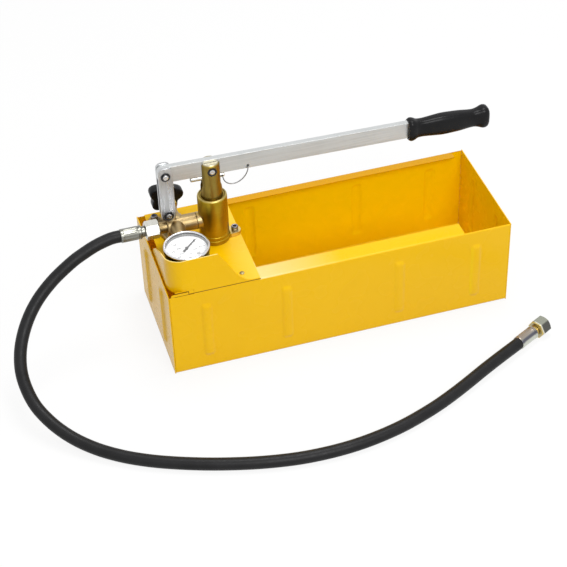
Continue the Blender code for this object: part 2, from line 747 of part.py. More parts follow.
def guard_path():
    """Plan of the guard from its right end to the flap's end: place, inward direction and height share."""
    rows = []
    right = LEFT + DECK_RIGHT
    slope_start = LEFT + GUARD_CREST_END
    rows.append((right, FRONT, 0.0, 1.0, 0.0))
    for across, up in reversed(GUARD_SLOPE_SHARES):
        rows.append((slope_start + across * GUARD_SLOPE, FRONT, 0.0, 1.0, up))
    center_x = LEFT + GUARD_LEFT + GUARD_CORNER
    center_y = FRONT + GUARD_CORNER
    for step in range(GUARD_CORNER_STEPS + 1):
        share = step / GUARD_CORNER_STEPS
        angle = -math.pi / 2 - math.pi / 2 * share
        cos, sin = math.cos(angle), math.sin(angle)
        rows.append((center_x + GUARD_CORNER * cos, center_y + GUARD_CORNER * sin, -cos, -sin,
                     1.0 - (1.0 - FLAP_SHARES[0][1]) * share))
    flap = FLAP_END - GUARD_CORNER
    for along, up in FLAP_SHARES[1:]:
        rows.append((LEFT + GUARD_LEFT, center_y + flap * along, 1.0, 0.0, up))
    return rows


def console_plate():
    """The deck with its guard folded up along the front and round the gauge."""
    rows = guard_path()
    middle = [(x + nx * SHEET / 2, y + ny * SHEET / 2) for x, y, nx, ny, up in rows]
    back = -FRONT - DECK_BACK_MARGIN
    step_y = FRONT + FLAP_END
    outline = middle + [(LEFT + DECK_LEFT, step_y), (LEFT + DECK_LEFT, back), (LEFT + DECK_RIGHT, back)]
    holes = [round_outline(SPIGOT_DIAMETER / 2 + RUN, LARGE_SIDES, PUMP_X, PUMP_Y),
             round_outline(RETURN_TUBE_DIAMETER / 2 + RUN, SMALL_SIDES, COLUMN_X, COLUMN_Y)]
    for place in (FRONT_BOLT, BACK_BOLT):
        holes.append(round_outline(BOLT_DIAMETER / 2 + RUN, SMALL_SIDES, *place))
    for x, y in SCREW_PLACES:
        holes.append(round_outline(SCREW_DIAMETER / 2 + GAP, SMALL_SIDES, x, y))
    bm = bmesh.new()
    prism(bm, outline, DECK_BOTTOM, DECK_TOP, Matrix.Identity(4), holes)
    deck = piece("console_plate", bm, yellow_paint())
    guard = bmesh.new()
    skins = []
    for depth in (0, SHEET):
        skins.append([[(x + nx * depth, y + ny * depth, DECK_BOTTOM),
                       (x + nx * depth, y + ny * depth, DECK_TOP + up * GUARD_HEIGHT + SKIN)]
                      for x, y, nx, ny, up in rows])
    shell_solid(guard, *skins)
    combine(deck, "guard", guard, "UNION")
    slit = bmesh.new()
    box(slit, (LEFT + TAB_START - GAP, FRONT - OVERRUN, DECK_BOTTOM - OVERRUN),
        (LEFT + FRONT_FLANGE_START + GAP, FRONT + SHEET + GAP, TANK_HEIGHT + TAB_HEIGHT + GAP))
    combine(deck, "tab_slit", slit, "DIFFERENCE")


def plate_screws():
    """Pan head screws through the deck into the tank's flanges, with their holes in the trough."""
    holes = bmesh.new()
    radius = SCREW_DIAMETER / 2
    head = SCREW_HEAD_DIAMETER / 2
    for number, (x, y) in enumerate(SCREW_PLACES, 1):
        place = at(x, y, DECK_TOP + GAP)
        bm = bmesh.new()
        turned(bm, ((0, -SCREW_LENGTH), (radius, -SCREW_LENGTH), (radius, 0), (head, 0),
                    (head, SCREW_HEAD_HEIGHT / 2), (head / 2, SCREW_HEAD_HEIGHT), (0, SCREW_HEAD_HEIGHT)),
               place, SMALL_SIDES)
        piece(f"plate_screw_{number}", bm, steel())
        rod(holes, radius + GAP, -SCREW_LENGTH - OVERRUN, OVERRUN, place, SMALL_SIDES)
    combine(bpy.data.objects["tank_trough"], "screw_holes", holes, "DIFFERENCE")


def ear_outline():
    return stadium((PUMP_X, PUMP_Y), FRONT_BOLT, BARREL_DIAMETER / 4, EAR_RADIUS, SMALL_SIDES // 2)


def pump_cylinder():
    """The barrel with its foot, its ear, the stub for the arm and the spigot below the deck."""
    barrel = BARREL_DIAMETER / 2
    foot = FOOT_DIAMETER / 2
    top = BARREL_HEIGHT
    line = FOOT_LINE_HEIGHT
    groove = FOOT_LINE_DEPTH
    turn = BARREL_RIM_ROUND
    outline = [(0, -SPIGOT_LENGTH), (SPIGOT_DIAMETER / 2, -SPIGOT_LENGTH), (SPIGOT_DIAMETER / 2, 0), (foot, 0),
               (foot, FOOT_THICKNESS), (barrel, FOOT_THICKNESS + groove), (barrel, line - groove),
               (barrel - groove, line), (barrel, line + groove)]
    outline += arc(barrel - turn, top - turn, turn, 0, math.pi / 2, 4)
    outline.append((0, top))
    bm = bmesh.new()
    turned(bm, outline, at(PUMP_X, PUMP_Y, FOOT_BOTTOM))
    body = piece("pump_cylinder", bm, brass())
    ear = bmesh.new()
    prism(ear, ear_outline(), FOOT_BOTTOM + SKIN, FOOT_BOTTOM + FOOT_THICKNESS - SKIN, Matrix.Identity(4))
    combine(body, "ear", ear, "UNION")
    stub = bmesh.new()
    rod(stub, ARM_DIAMETER / 2, barrel / 2, STUB_REACH, at(PUMP_X, PUMP_Y, ARM_Z, "-X"))
    combine(body, "stub", stub, "UNION")
    pocket = SEAL_POCKET_DIAMETER / 2
    chamber = CHAMBER_DIAMETER / 2
    pocket_floor = top - GLAND_RECESS - GLAND_HEIGHT - SEAL_HEIGHT - GAP * 2
    bores = bmesh.new()
    turned(bores, ((0, -SPIGOT_LENGTH - OVERRUN), (SUCTION_SOCKET / 2, -SPIGOT_LENGTH - OVERRUN),
                   (SUCTION_SOCKET / 2, -SPIGOT_LENGTH + SUCTION_SOCKET_DEPTH),
                   (ARM_BORE / 2, -SPIGOT_LENGTH + SUCTION_SOCKET_DEPTH), (ARM_BORE / 2, BARREL_FLOOR),
                   (chamber, BARREL_FLOOR), (chamber, pocket_floor), (pocket, pocket_floor),
                   (pocket, top + OVERRUN), (0, top + OVERRUN)), at(PUMP_X, PUMP_Y, FOOT_BOTTOM))
    combine(body, "bores", bores, "DIFFERENCE")
    ports = bmesh.new()
    rod(ports, VALVE_PORT / 2, chamber / 2, STUB_REACH + OVERRUN, at(PUMP_X, PUMP_Y, ARM_Z, "-X"), SMALL_SIDES)
    rod(ports, BOLT_DIAMETER / 2 + RUN, -OVERRUN, FOOT_THICKNESS + OVERRUN, at(*FRONT_BOLT, FOOT_BOTTOM),
        SMALL_SIDES)
    combine(body, "ports", ports, "DIFFERENCE", "MANIFOLD")


def barrel_rings():
    """The seal and the gland ring that guide the piston at the barrel's mouth."""
    outside = SEAL_POCKET_DIAMETER / 2 - GAP
    inside = PISTON_DIAMETER / 2 + GAP
    top = BARREL_TOP - GLAND_RECESS
    gland = bmesh.new()
    bevel = GLAND_RECESS / 2
    turned(gland, ((inside, top - GLAND_HEIGHT), (outside, top - GLAND_HEIGHT), (outside, top - bevel),
                   (outside - bevel, top), (inside + bevel, top), (inside, top - bevel)),
           at(PUMP_X, PUMP_Y, 0), closed=True)
    piece("cylinder_gland", gland, brass())
    seal = bmesh.new()
    tube(seal, outside, inside, top - GLAND_HEIGHT - GAP - SEAL_HEIGHT, top - GLAND_HEIGHT - GAP,
         at(PUMP_X, PUMP_Y, 0))
    piece("piston_seal", seal, seal_rubber())


def valve_manifold():
    """The casting of arm, link lug, gauge boss, relief barrel, column and back foot, with its bores."""
    start = STUB_REACH + GAP
    edge = FOOT_LINE_DEPTH
    radius = ARM_DIAMETER / 2
    bm = bmesh.new()
    turned(bm, ((0, start), (radius, start), (radius, ARM_LEFT - edge * 2), (radius - edge * 2, ARM_LEFT),
                (0, ARM_LEFT)), at(PUMP_X, PUMP_Y, ARM_Z, "-X"))
    body = piece("valve_manifold", bm, brass())
    boss = bmesh.new()
    turned(boss, ((0, 0), (GAUGE_BOSS_BASE / 2, 0), (GAUGE_BOSS_BASE / 2, radius - edge),
                  (GAUGE_BOSS_DIAMETER / 2, GAUGE_BOSS_LENGTH - edge),
                  (GAUGE_BOSS_DIAMETER / 2 - edge, GAUGE_BOSS_LENGTH), (0, GAUGE_BOSS_LENGTH)),
           at(GAUGE_X, PUMP_Y, ARM_Z, "-Y"))
    combine(body, "gauge_boss", boss, "UNION")
    column = bmesh.new()
    rod(column, COLUMN_DIAMETER / 2, FOOT_BOTTOM + FOOT_THICKNESS / 2, ARM_Z, at(COLUMN_X, COLUMN_Y, 0))
    combine(body, "column", column, "UNION")
    barrel = bmesh.new()
    turned(barrel, ((0, edge), (RELIEF_BARREL_DIAMETER / 2, edge),
                    (RELIEF_BARREL_DIAMETER / 2, RELIEF_BARREL_LENGTH - edge),
                    (RELIEF_BARREL_DIAMETER / 2 - edge, RELIEF_BARREL_LENGTH), (0, RELIEF_BARREL_LENGTH)),
           at(RELIEF_X, PUMP_Y, RELIEF_Z, "+Y"))
    combine(body, "relief_barrel", barrel, "UNION")
    foot = bmesh.new()
    around_column = COLUMN_DIAMETER / 2 + edge * 4
    prism(foot, stadium((COLUMN_X, COLUMN_Y), BACK_BOLT, around_column, EAR_RADIUS, SMALL_SIDES // 2),
          FOOT_BOTTOM, FOOT_BOTTOM + FOOT_THICKNESS, Matrix.Identity(4))
    combine(body, "back_foot", foot, "UNION")
    lug = bmesh.new()
    outline = arc(0, LUG_PIN_RISE, LUG_RADIUS, 0, math.pi, SMALL_SIDES // 2)
    inset = LINK_SPAN - ARM_LEFT + edge * 2
    outline += [(-LUG_RADIUS, LUG_PIN_RISE - LUG_RADIUS), (inset, radius), (inset, radius / 2),
                (LUG_FLARE, radius / 2)]
    prism(lug, outline, -LEVER_THICKNESS / 2, LEVER_THICKNESS / 2, at(LINK_X, PUMP_Y, ARM_Z, "-Y"),
          [round_outline(PIN_DIAMETER / 2 + PIN_FIT, SMALL_SIDES, 0, LUG_PIN_RISE)])
    combine(body, "link_lug", lug, "UNION")
    bores = bmesh.new()
    turned(bores, ((0, start - OVERRUN), (VALVE_BORE / 2, start - OVERRUN),
                   (VALVE_BORE / 2, start + VALVE_LENGTH), (ARM_BORE / 2, start + VALVE_LENGTH),
                   (ARM_BORE / 2, ARM_LEFT - NIPPLE_PLUG_LENGTH - GAP),
                   (NIPPLE_PLUG_DIAMETER / 2 + GAP, ARM_LEFT - NIPPLE_PLUG_LENGTH - GAP),
                   (NIPPLE_PLUG_DIAMETER / 2 + GAP, ARM_LEFT + OVERRUN), (0, ARM_LEFT + OVERRUN)),
           at(PUMP_X, PUMP_Y, ARM_Z, "-X"), SMALL_SIDES)
    combine(body, "main_bore", bores, "DIFFERENCE")
    sides = bmesh.new()
    thread_floor = GAUGE_BOSS_LENGTH - GAUGE_THREAD_DEPTH
    turned(sides, ((0, ARM_BORE / 4), (RELIEF_PORT / 2, ARM_BORE / 4), (RELIEF_PORT / 2, thread_floor),
                   (GAUGE_THREAD / 2 + GAP, thread_floor),
                   (GAUGE_THREAD / 2 + GAP, GAUGE_BOSS_LENGTH + OVERRUN), (0, GAUGE_BOSS_LENGTH + OVERRUN)),
           at(GAUGE_X, PUMP_Y, ARM_Z, "-Y"), SMALL_SIDES)
    rod(sides, BOLT_DIAMETER / 2 + RUN, -OVERRUN, FOOT_THICKNESS + OVERRUN, at(*BACK_BOLT, FOOT_BOTTOM),
        SMALL_SIDES)
    combine(body, "gauge_bore", sides, "DIFFERENCE", "MANIFOLD")
    relief = bmesh.new()
    turned(relief, ((0, ARM_BORE / 4), (RELIEF_PORT / 2, ARM_BORE / 4), (RELIEF_PORT / 2, RELIEF_SEAT),
                    (RELIEF_BORE / 2, RELIEF_SEAT + SPINDLE_TIP),
                    (RELIEF_BORE / 2, RELIEF_BARREL_LENGTH + OVERRUN), (0, RELIEF_BARREL_LENGTH + OVERRUN)),
           at(RELIEF_X, PUMP_Y, RELIEF_Z, "+Y"), SMALL_SIDES)
    combine(body, "relief_bore", relief, "DIFFERENCE", "MANIFOLD")
    drain = bmesh.new()
    socket = RETURN_TUBE_DIAMETER / 2 + GAP
    floor = FOOT_BOTTOM + RETURN_SOCKET_DEPTH
    turned(drain, ((0, FOOT_BOTTOM - OVERRUN), (socket, FOOT_BOTTOM - OVERRUN), (socket, floor),
                   (RELIEF_PORT / 2, floor), (RELIEF_PORT / 2, RELIEF_Z), (0, RELIEF_Z)),
           at(COLUMN_X, COLUMN_Y, 0), SMALL_SIDES)
    combine(body, "drain", drain, "DIFFERENCE", "MANIFOLD")


def pump_fasteners():
    """Two socket head bolts that hold the pump, with their washers and nuts under the deck."""
    radius = BOLT_DIAMETER / 2
    head = BOLT_HEAD_DIAMETER / 2
    socket = BOLT_SOCKET_AF / math.sqrt(3)
    seat = FOOT_BOTTOM + FOOT_THICKNESS + GAP
    washer_top = DECK_BOTTOM - GAP
    nut_top = washer_top - WASHER_THICKNESS - GAP
    for label, place in (("front", FRONT_BOLT), ("back", BACK_BOLT)):
        outline = ((0, -BOLT_LENGTH), (radius, -BOLT_LENGTH), (radius, 0), (head, 0),
                   (head, BOLT_HEAD_HEIGHT - FOOT_LINE_DEPTH), (head - FOOT_LINE_DEPTH, BOLT_HEAD_HEIGHT))
        rings = [circle(r, z, BOLT_SIDES) for r, z in outline]
        for z in (BOLT_HEAD_HEIGHT, BOLT_HEAD_HEIGHT - BOLT_SOCKET_DEPTH):
            ring = []
            for k in range(BOLT_SIDES):
                angle = math.tau * k / BOLT_SIDES
                within = (angle + math.pi / 6) % (math.pi / 3) - math.pi / 6
                reach = socket * math.cos(math.pi / 6) / math.cos(within)
                ring.append((reach * math.cos(angle), reach * math.sin(angle), z))
            rings.append(ring)
        rings.append([(0, 0, BOLT_HEAD_HEIGHT - BOLT_SOCKET_DEPTH)])
        bolt, washer, nut = bmesh.new(), bmesh.new(), bmesh.new()
        loft(bolt, rings, at(*place, seat))
        piece(f"{label}_bolt", bolt, steel())
        tube(washer, WASHER_DIAMETER / 2, radius + GAP, washer_top - WASHER_THICKNESS, washer_top,
             at(*place, 0), SMALL_SIDES)
        piece(f"{label}_washer", washer, steel())
        prism(nut, hexagon(NUT_AF), nut_top - NUT_HEIGHT, nut_top, at(*place, 0),
              [round_outline(radius + GAP, SMALL_SIDES)])
        piece(f"{label}_nut", nut, steel())


def pins_with_clips(height, pin_name, clip_name, parent, origin):
    """A link pin across the straps, with a clip at each end."""
    half = STRAP_OUTER + GAP + CLIP_THICKNESS + PIN_END
    radius = PIN_DIAMETER / 2
    pin = bmesh.new()
    place = at(0, PUMP_Y - origin[1], height - origin[2], "+Y")
    turned(pin, ((0, -half), (radius - FOOT_LINE_DEPTH, -half), (radius, -half + FOOT_LINE_DEPTH),
                 (radius, half - FOOT_LINE_DEPTH), (radius - FOOT_LINE_DEPTH, half), (0, half)),
           place, SMALL_SIDES)
    piece(pin_name, pin, steel(), parent, (0, 0, 0) if parent else origin)
    for label, side in (("near", -1), ("far", 1)):
        near = side * (STRAP_OUTER + GAP)
        far = near + side * CLIP_THICKNESS
        clip = bmesh.new()
        tube(clip, CLIP_DIAMETER / 2, radius + GAP, min(near, far), max(near, far), place, SMALL_SIDES)
        piece(f"{clip_name}_{label}", clip, black_plastic(), parent, (0, 0, 0) if parent else origin)


def link_outline():
    """One strap in its own plane, from the base pin at the origin up to its rounded top."""
    half = LINK_WIDTH / 2
    top = LINK_LENGTH + LINK_TOP_REACH
    corner = LINK_CORNER
    outline = arc(0, 0, half, math.pi, math.tau, SMALL_SIDES // 2)
    outline += arc(half - corner, top - corner, corner, 0, math.pi / 2, 4)
    outline += arc(corner - half, top - corner, corner, math.pi / 2, math.pi, 4)
    return outline


def links(links_pivot):
    """The two straps that swing on the manifold's lug and carry the lever."""
    hole = PIN_DIAMETER / 2 + PIN_FIT
    holes = [round_outline(hole, SMALL_SIDES), round_outline(hole, SMALL_SIDES, 0, LINK_LENGTH)]
    for name, side in (("near_link", -1), ("far_link", 1)):
        bm = bmesh.new()
        inner, outer = side * STRAP_INNER, side * STRAP_OUTER
        prism(bm, link_outline(), -max(inner, outer), -min(inner, outer), at(0, 0, 0, "-Y"), holes)
        piece(name, bm, steel(), links_pivot)


def piston_pin_on_lever():
    """Where the piston's pin lies on the lever at rest, from the top pin along and across the lever."""
    run = Vector((LINK_SPAN, -PISTON_PIN_DROP))
    cos, sin = math.cos(LEVER_TILT), math.sin(LEVER_TILT)
    return run.x * cos - run.y * sin, run.x * sin + run.y * cos


def lever_bar(lever_pivot):
    """The flat bar with its three holes, rounded at the links' end and narrower inside the grip."""
    half = LEVER_HEIGHT / 2
    round_end = LEVER_LEFT_CORNER
    left = round_end - LEVER_LEFT_REACH
    shoulder = GRIP_START + GRIP_MOUTH
    tang = TANG_HEIGHT / 2
    corner = TANG_CORNER
    outline = arc(left, half - round_end, round_end, math.pi / 2, math.pi, SMALL_SIDES // 4)
    outline += arc(left, round_end - half, round_end, math.pi, math.pi * 3 / 2, SMALL_SIDES // 4)
    outline += [(shoulder, -half), (shoulder, -tang)]
    outline += arc(LEVER_REACH - corner, corner - tang, corner, -math.pi / 2, 0, 2)
    outline += arc(LEVER_REACH - corner, tang - corner, corner, 0, math.pi / 2, 2)
    outline += [(shoulder, tang), (shoulder, half)]
    pin_x, pin_z = piston_pin_on_lever()
    holes = [round_outline(PIN_DIAMETER / 2 + PIN_FIT, SMALL_SIDES),
             round_outline(OPEN_PIVOT_DIAMETER / 2, SMALL_SIDES, pin_x - OPEN_PIVOT_BACK,
                           pin_z - OPEN_PIVOT_DROP),
             round_outline(TETHER_HOLE / 2, SMALL_SIDES // 2, TETHER_REACH, TETHER_HOLE_RISE - half)]
    bm = bmesh.new()
    prism(bm, outline, -LEVER_THICKNESS / 2, LEVER_THICKNESS / 2, at(0, 0, 0, "-Y"), holes)
    piece("lever_bar", bm, steel(), lever_pivot)


def lever_grip(lever_pivot):
    """The moulded grip, waisted near both ends and domed at its tip, with a pocket for the bar."""
    rings = []
    power = 2 / GRIP_SQUARENESS
    for along, tall in GRIP_SECTION_SHARES:
        half = tall * GRIP_HEIGHT / 2
        ring = []
        for k in range(GRIP_SIDES):
            angle = math.tau * k / GRIP_SIDES
            cos, sin = math.cos(angle), math.sin(angle)
            ring.append((GRIP_START + along * GRIP_LENGTH,
                         math.copysign(abs(cos) ** power, cos) * GRIP_THICKNESS_SHARE * half,
                         math.copysign(abs(sin) ** power, sin) * half - GRIP_DROP))
        rings.append(ring)
    bm = bmesh.new()
    loft(bm, rings, Matrix.Identity(4))
    grip = piece("lever_grip", bm, black_plastic(), lever_pivot)
    pocket = bmesh.new()
    half = LEVER_HEIGHT / 2 + GAP
    tang = TANG_HEIGHT / 2 + GAP
    side = LEVER_THICKNESS / 2 + GAP
    start, shoulder, end = GRIP_START - OVERRUN, GRIP_START + GRIP_MOUTH + GAP, LEVER_REACH + GAP
    outline = [(start, -half), (shoulder, -half), (shoulder, -tang), (end, -tang), (end, tang),
               (shoulder, tang), (shoulder, half), (start, half)]
    prism(pocket, outline, -side, side, at(0, 0, 0, "-Y"))
    combine(grip, "bar_pocket", pocket, "DIFFERENCE")


def lock_pin_place():
    """The locking pin's left end and its height, in the lever's own frame."""
    pin_x, pin_z = piston_pin_on_lever()
    height = -LEVER_HEIGHT / 2 - LOCK_PIN_DROP - LOCK_PIN_DIAMETER / 2
    return pin_x - LOCK_PIN_LEFT, height


def lock_pin(lever_pivot):
    """The pin that lies in the piston's slot under the lever, with the eye for its tether."""
    left, height = lock_pin_place()
    radius = LOCK_PIN_DIAMETER / 2
    bevel = LOCK_PIN_CHAMFER
    bm = bmesh.new()
    turned(bm, ((0, 0), (radius - bevel, 0), (radius, bevel), (radius, LOCK_PIN_LENGTH - bevel),
                (radius - bevel, LOCK_PIN_LENGTH), (0, LOCK_PIN_LENGTH)),
           at(left, 0, height, "+X"), SMALL_SIDES)
    pin = piece("lock_pin", bm, steel(), lever_pivot)
    eye = bmesh.new()
    rod(eye, LOCK_PIN_EYE / 2, -radius - OVERRUN, radius + OVERRUN,
        at(left + LOCK_PIN_LENGTH - LOCK_PIN_EYE_INSET, 0, height, "+Y"), SMALL_SIDES // 2)
    combine(pin, "eye", eye, "DIFFERENCE")


def tether_wire(lever_pivot):
    """A wire loop through the pin's eye and the lever's hole, hanging in front of the bar and behind it."""
    left, height = lock_pin_place()
    eye_x = left + LOCK_PIN_LENGTH - LOCK_PIN_EYE_INSET
    hole_z = TETHER_HOLE_RISE - LEVER_HEIGHT / 2
    middle = Vector(((eye_x + TETHER_REACH) / 2, 0, (height + hole_z) / 2))
    half = Vector(((TETHER_REACH - eye_x) / 2, 0, (hole_z - height) / 2))
    reach = LEVER_THICKNESS / 2 + TETHER_DIAMETER / 2 + RUN * 2
    points = []
    for side, drop in ((-1, TETHER_SAG), (1, TETHER_BACK_SAG)):
        for step in range(TETHER_POINTS + 1):
            angle = math.pi * step / TETHER_POINTS
            if side > 0:
                angle = math.pi - angle
            sag = math.sin(angle)
            points.append(middle - half * math.cos(angle)
                          + Vector((0, side * (reach + TETHER_SWELL * sag), -drop * sag)))
    tube_curve("tether_wire", points, TETHER_DIAMETER, steel(), 1, lever_pivot, cyclic=True)


def piston(piston_pivot):
    """The plunger with its forked head, its pin and the clips in the head's counterbores."""
    origin_z = PISTON_PIN_Z
    bottom = FOOT_BOTTOM + BARREL_FLOOR + GAP * 3 - origin_z
    rod_radius = PISTON_DIAMETER / 2
    head = PISTON_HEAD_DIAMETER / 2
    bevel = PISTON_CHAMFER
    neck = BARREL_TOP + PISTON_NECK_RISE - origin_z
    top = PISTON_TOP_RISE
    bm = bmesh.new()
    turned(bm, ((0, bottom), (rod_radius - bevel, bottom), (rod_radius, bottom + bevel),
                (rod_radius, neck - PISTON_NECK_DROP), (head, neck), (head, top - PISTON_TOP_CHAMFER),
                (head - PISTON_TOP_CHAMFER, top), (0, top)), Matrix.Identity(4))
    body = piece("piston_rod", bm, brass(), piston_pivot)
    slot = bmesh.new()
    box(slot, (-rod_radius - OVERRUN, -SLOT_WIDTH / 2, top - SLOT_DEPTH),
        (rod_radius + OVERRUN, SLOT_WIDTH / 2, top + OVERRUN))
    combine(body, "fork_slot", slot, "DIFFERENCE")
    bore = bmesh.new()
    pocket = head - CLIP_THICKNESS - GAP * 2
    hole = PIN_DIAMETER / 2 + PIN_FIT
    seat = CLIP_DIAMETER / 2 + GAP
    turned(bore, ((0, -head - OVERRUN), (seat, -head - OVERRUN), (seat, -pocket), (hole, -pocket),
                  (hole, pocket), (seat, pocket), (seat, head + OVERRUN), (0, head + OVERRUN)),
           at(0, 0, 0, "+Y"), SMALL_SIDES)
    combine(body, "pin_bore", bore, "DIFFERENCE")
    pin = bmesh.new()
    radius = PIN_DIAMETER / 2
    turned(pin, ((0, -head), (radius - FOOT_LINE_DEPTH, -head), (radius, FOOT_LINE_DEPTH - head),
                 (radius, head - FOOT_LINE_DEPTH), (radius - FOOT_LINE_DEPTH, head), (0, head)),
           at(0, 0, 0, "+Y"), SMALL_SIDES)
    piece("piston_pin", pin, steel(), piston_pivot)
    for label, side in (("near", -1), ("far", 1)):
        near = side * (pocket + GAP)
        far = near + side * CLIP_THICKNESS
        clip = bmesh.new()
        tube(clip, CLIP_DIAMETER / 2, radius + GAP, min(near, far), max(near, far), at(0, 0, 0, "+Y"),
             SMALL_SIDES)
        piece(f"piston_pin_clip_{label}", clip, black_plastic(), piston_pivot)


def hex_chamfer(obj, across_flats, bottom, top, place, label):
    """Round a hexagon's corners off at both faces, as a nut's are."""
    corner = across_flats / math.sqrt(3)
    flat = across_flats / 2
    bevel = UNION_CHAMFER * across_flats / UNION_AF
    face = flat - bevel / 2
    keep = bmesh.new()
    turned(keep, ((0, bottom - OVERRUN), (face, bottom - OVERRUN), (face, bottom), (corner, bottom + bevel),
                  (corner, top - bevel), (face, top), (face, top + OVERRUN), (0, top + OVERRUN)), place,
           LARGE_SIDES - LARGE_SIDES // 4)
    combine(obj, label, keep, "INTERSECT")


def outlet_nipple():
    """The brass neck and thread that the hose is screwed to."""
    neck = NIPPLE_NECK_DIAMETER / 2
    thread = NIPPLE_THREAD_DIAMETER / 2
    plug = NIPPLE_PLUG_DIAMETER / 2
    bore = NIPPLE_BORE / 2
    start = ARM_LEFT + GAP
    shoulder = start + NIPPLE_NECK_LENGTH
    end = shoulder + NIPPLE_THREAD_LENGTH
    bm = bmesh.new()
    turned(bm, ((bore, start - NIPPLE_PLUG_LENGTH), (plug, start - NIPPLE_PLUG_LENGTH), (plug, start),
                (neck, start), (neck, shoulder - OVERRUN), (thread, shoulder - OVERRUN / 2),
                (thread, end - FOOT_LINE_DEPTH), (thread - FOOT_LINE_DEPTH, end), (bore, end)),
           at(PUMP_X, PUMP_Y, ARM_Z, "-X"),
           LARGE_SIDES - LARGE_SIDES // 4, closed=True)
    piece("outlet_nipple", bm, brass())
    return end


def union_nut(name, parent, place):
    """A hexagon nut with a bore for the thread and a shoulder that holds the tail's flange."""
    bm = bmesh.new()
    prism(bm, hexagon(UNION_AF, math.pi / 6), 0, UNION_LENGTH, place)
    nut = piece(name, bm, steel(), parent)
    hex_chamfer(nut, UNION_AF, 0, UNION_LENGTH, place, "corners")
    bore = bmesh.new()
    inner = UNION_BORE / 2
    throat = TAIL_STEM_DIAMETER / 2 + RUN
    turned(bore, ((0, -OVERRUN), (throat, -OVERRUN), (throat, UNION_SHOULDER), (inner, UNION_SHOULDER),
                  (inner, UNION_LENGTH + OVERRUN), (0, UNION_LENGTH + OVERRUN)), place,
           LARGE_SIDES - LARGE_SIDES // 4)
    combine(nut, "bore", bore, "DIFFERENCE")


def hose_tail(name, finish, collar, barb, place, parent=None, location=(0, 0, 0)):
    """The insert that the nut holds: flange and stem in the nut, a collar, and the barb in the ferrule."""
    bm = bmesh.new()
    bore = TAIL_BORE / 2
    flange = TAIL_FLANGE_DIAMETER / 2
    stem = TAIL_STEM_DIAMETER / 2
    seat = UNION_SHOULDER + GAP
    turned(bm, ((bore, -collar - barb - GAP * 2), (TAIL_BARB_DIAMETER / 2, -collar - barb - GAP * 2),
                (TAIL_BARB_DIAMETER / 2, -collar - GAP), (TAIL_COLLAR_DIAMETER / 2, -collar - GAP),
                (TAIL_COLLAR_DIAMETER / 2, -GAP * 2), (stem, -GAP * 2), (stem, seat), (flange, seat),
                (flange, seat + TAIL_FLANGE_LENGTH), (bore, seat + TAIL_FLANGE_LENGTH)), place,
           LARGE_SIDES - LARGE_SIDES // 4, closed=True)
    piece(name, bm, finish, parent, location)


def ferrule(name, length, place, parent=None):
    """The crimped sleeve on the hose's end, with shallow rings where it was pressed."""
    radius = FERRULE_DIAMETER / 2
    low = radius - FERRULE_CRIMP_DEPTH
    inner = TAIL_BARB_DIAMETER / 2 + GAP
    pitch = length / (FERRULE_CRIMPS + 1)
    outline = [(inner, 0), (radius - FERRULE_CRIMP_DEPTH * 2, 0), (radius, FERRULE_CRIMP_DEPTH * 2)]
    for k in range(1, FERRULE_CRIMPS + 1):
        outline += [(radius, k * pitch - pitch / 5), (low, k * pitch), (radius, k * pitch + pitch / 5)]
    outline += [(radius, length - FERRULE_CRIMP_DEPTH * 2), (radius - FERRULE_CRIMP_DEPTH * 2, length),
                (inner, length)]
    bm = bmesh.new()
    turned(bm, outline, place, LARGE_SIDES - LARGE_SIDES // 4, closed=True)
    piece(name, bm, steel(), parent)


def near_fittings(nipple_end):
    """The union nut on the outlet, its washer, the hose tail and the near ferrule."""
    washer = bmesh.new()
    along = nipple_end + GAP
    tube(washer, TAIL_FLANGE_DIAMETER / 2, TAIL_BORE / 2 + GAP, along, along + SEALING_WASHER_THICKNESS,
         at(PUMP_X, PUMP_Y, ARM_Z, "-X"), SMALL_SIDES)
    piece("near_sealing_washer", washer, copper())
    nut_end = along + SEALING_WASHER_THICKNESS + GAP + TAIL_FLANGE_LENGTH + GAP + UNION_SHOULDER
    place = at(PUMP_X - nut_end, PUMP_Y, ARM_Z, "+X")
    union_nut("near_union_nut", None, place)
    hose_tail("near_hose_tail", steel(), TAIL_COLLAR_LENGTH, FERRULE_LENGTH - GAP, place)
    ferrule_end = nut_end + TAIL_COLLAR_LENGTH + GAP * 2
    ferrule("near_ferrule", FERRULE_LENGTH, at(PUMP_X - ferrule_end, PUMP_Y, ARM_Z, "-X"))


def hose_points():
    """The hose's middle line: straight out of both ferrules, and a smooth curve through its route between."""
    route = [Vector(p) * MILLIMETRE for p in HOSE_ROUTE_MM]
    near = route[0] - Vector((HOSE_STRAIGHT, 0, 0))
    heading = Vector((math.cos(FAR_FITTING_ANGLE), math.sin(FAR_FITTING_ANGLE), 0))
    far = route[-1] - heading * HOSE_STRAIGHT
    return [route[0], *tangent_wrap([near, *route[1:-1], far], HOSE_STEP), route[-1]]


def hose_and_far_fittings():
    """The free hose and the fittings on its far end, which point along the hose's last stretch."""
    points = hose_points()
    tube_curve("hose", points, HOSE_DIAMETER, hose_rubber(), 4)
    end = points[-1]
    holder = pivot("far_end", end, (0, 0, FAR_FITTING_ANGLE))
    ferrule("far_ferrule", FAR_FERRULE_LENGTH, at(GAP + FAR_FERRULE_LENGTH, 0, 0, "-X"), holder)
    nut_start = GAP + FAR_FERRULE_LENGTH + FAR_COLLAR_LENGTH + GAP * 2
    place = at(nut_start, 0, 0, "+X")
    hose_tail("far_hose_tail", steel(), FAR_COLLAR_LENGTH, FAR_FERRULE_LENGTH - GAP, place, holder)
    union_nut("far_union_nut", holder, place)


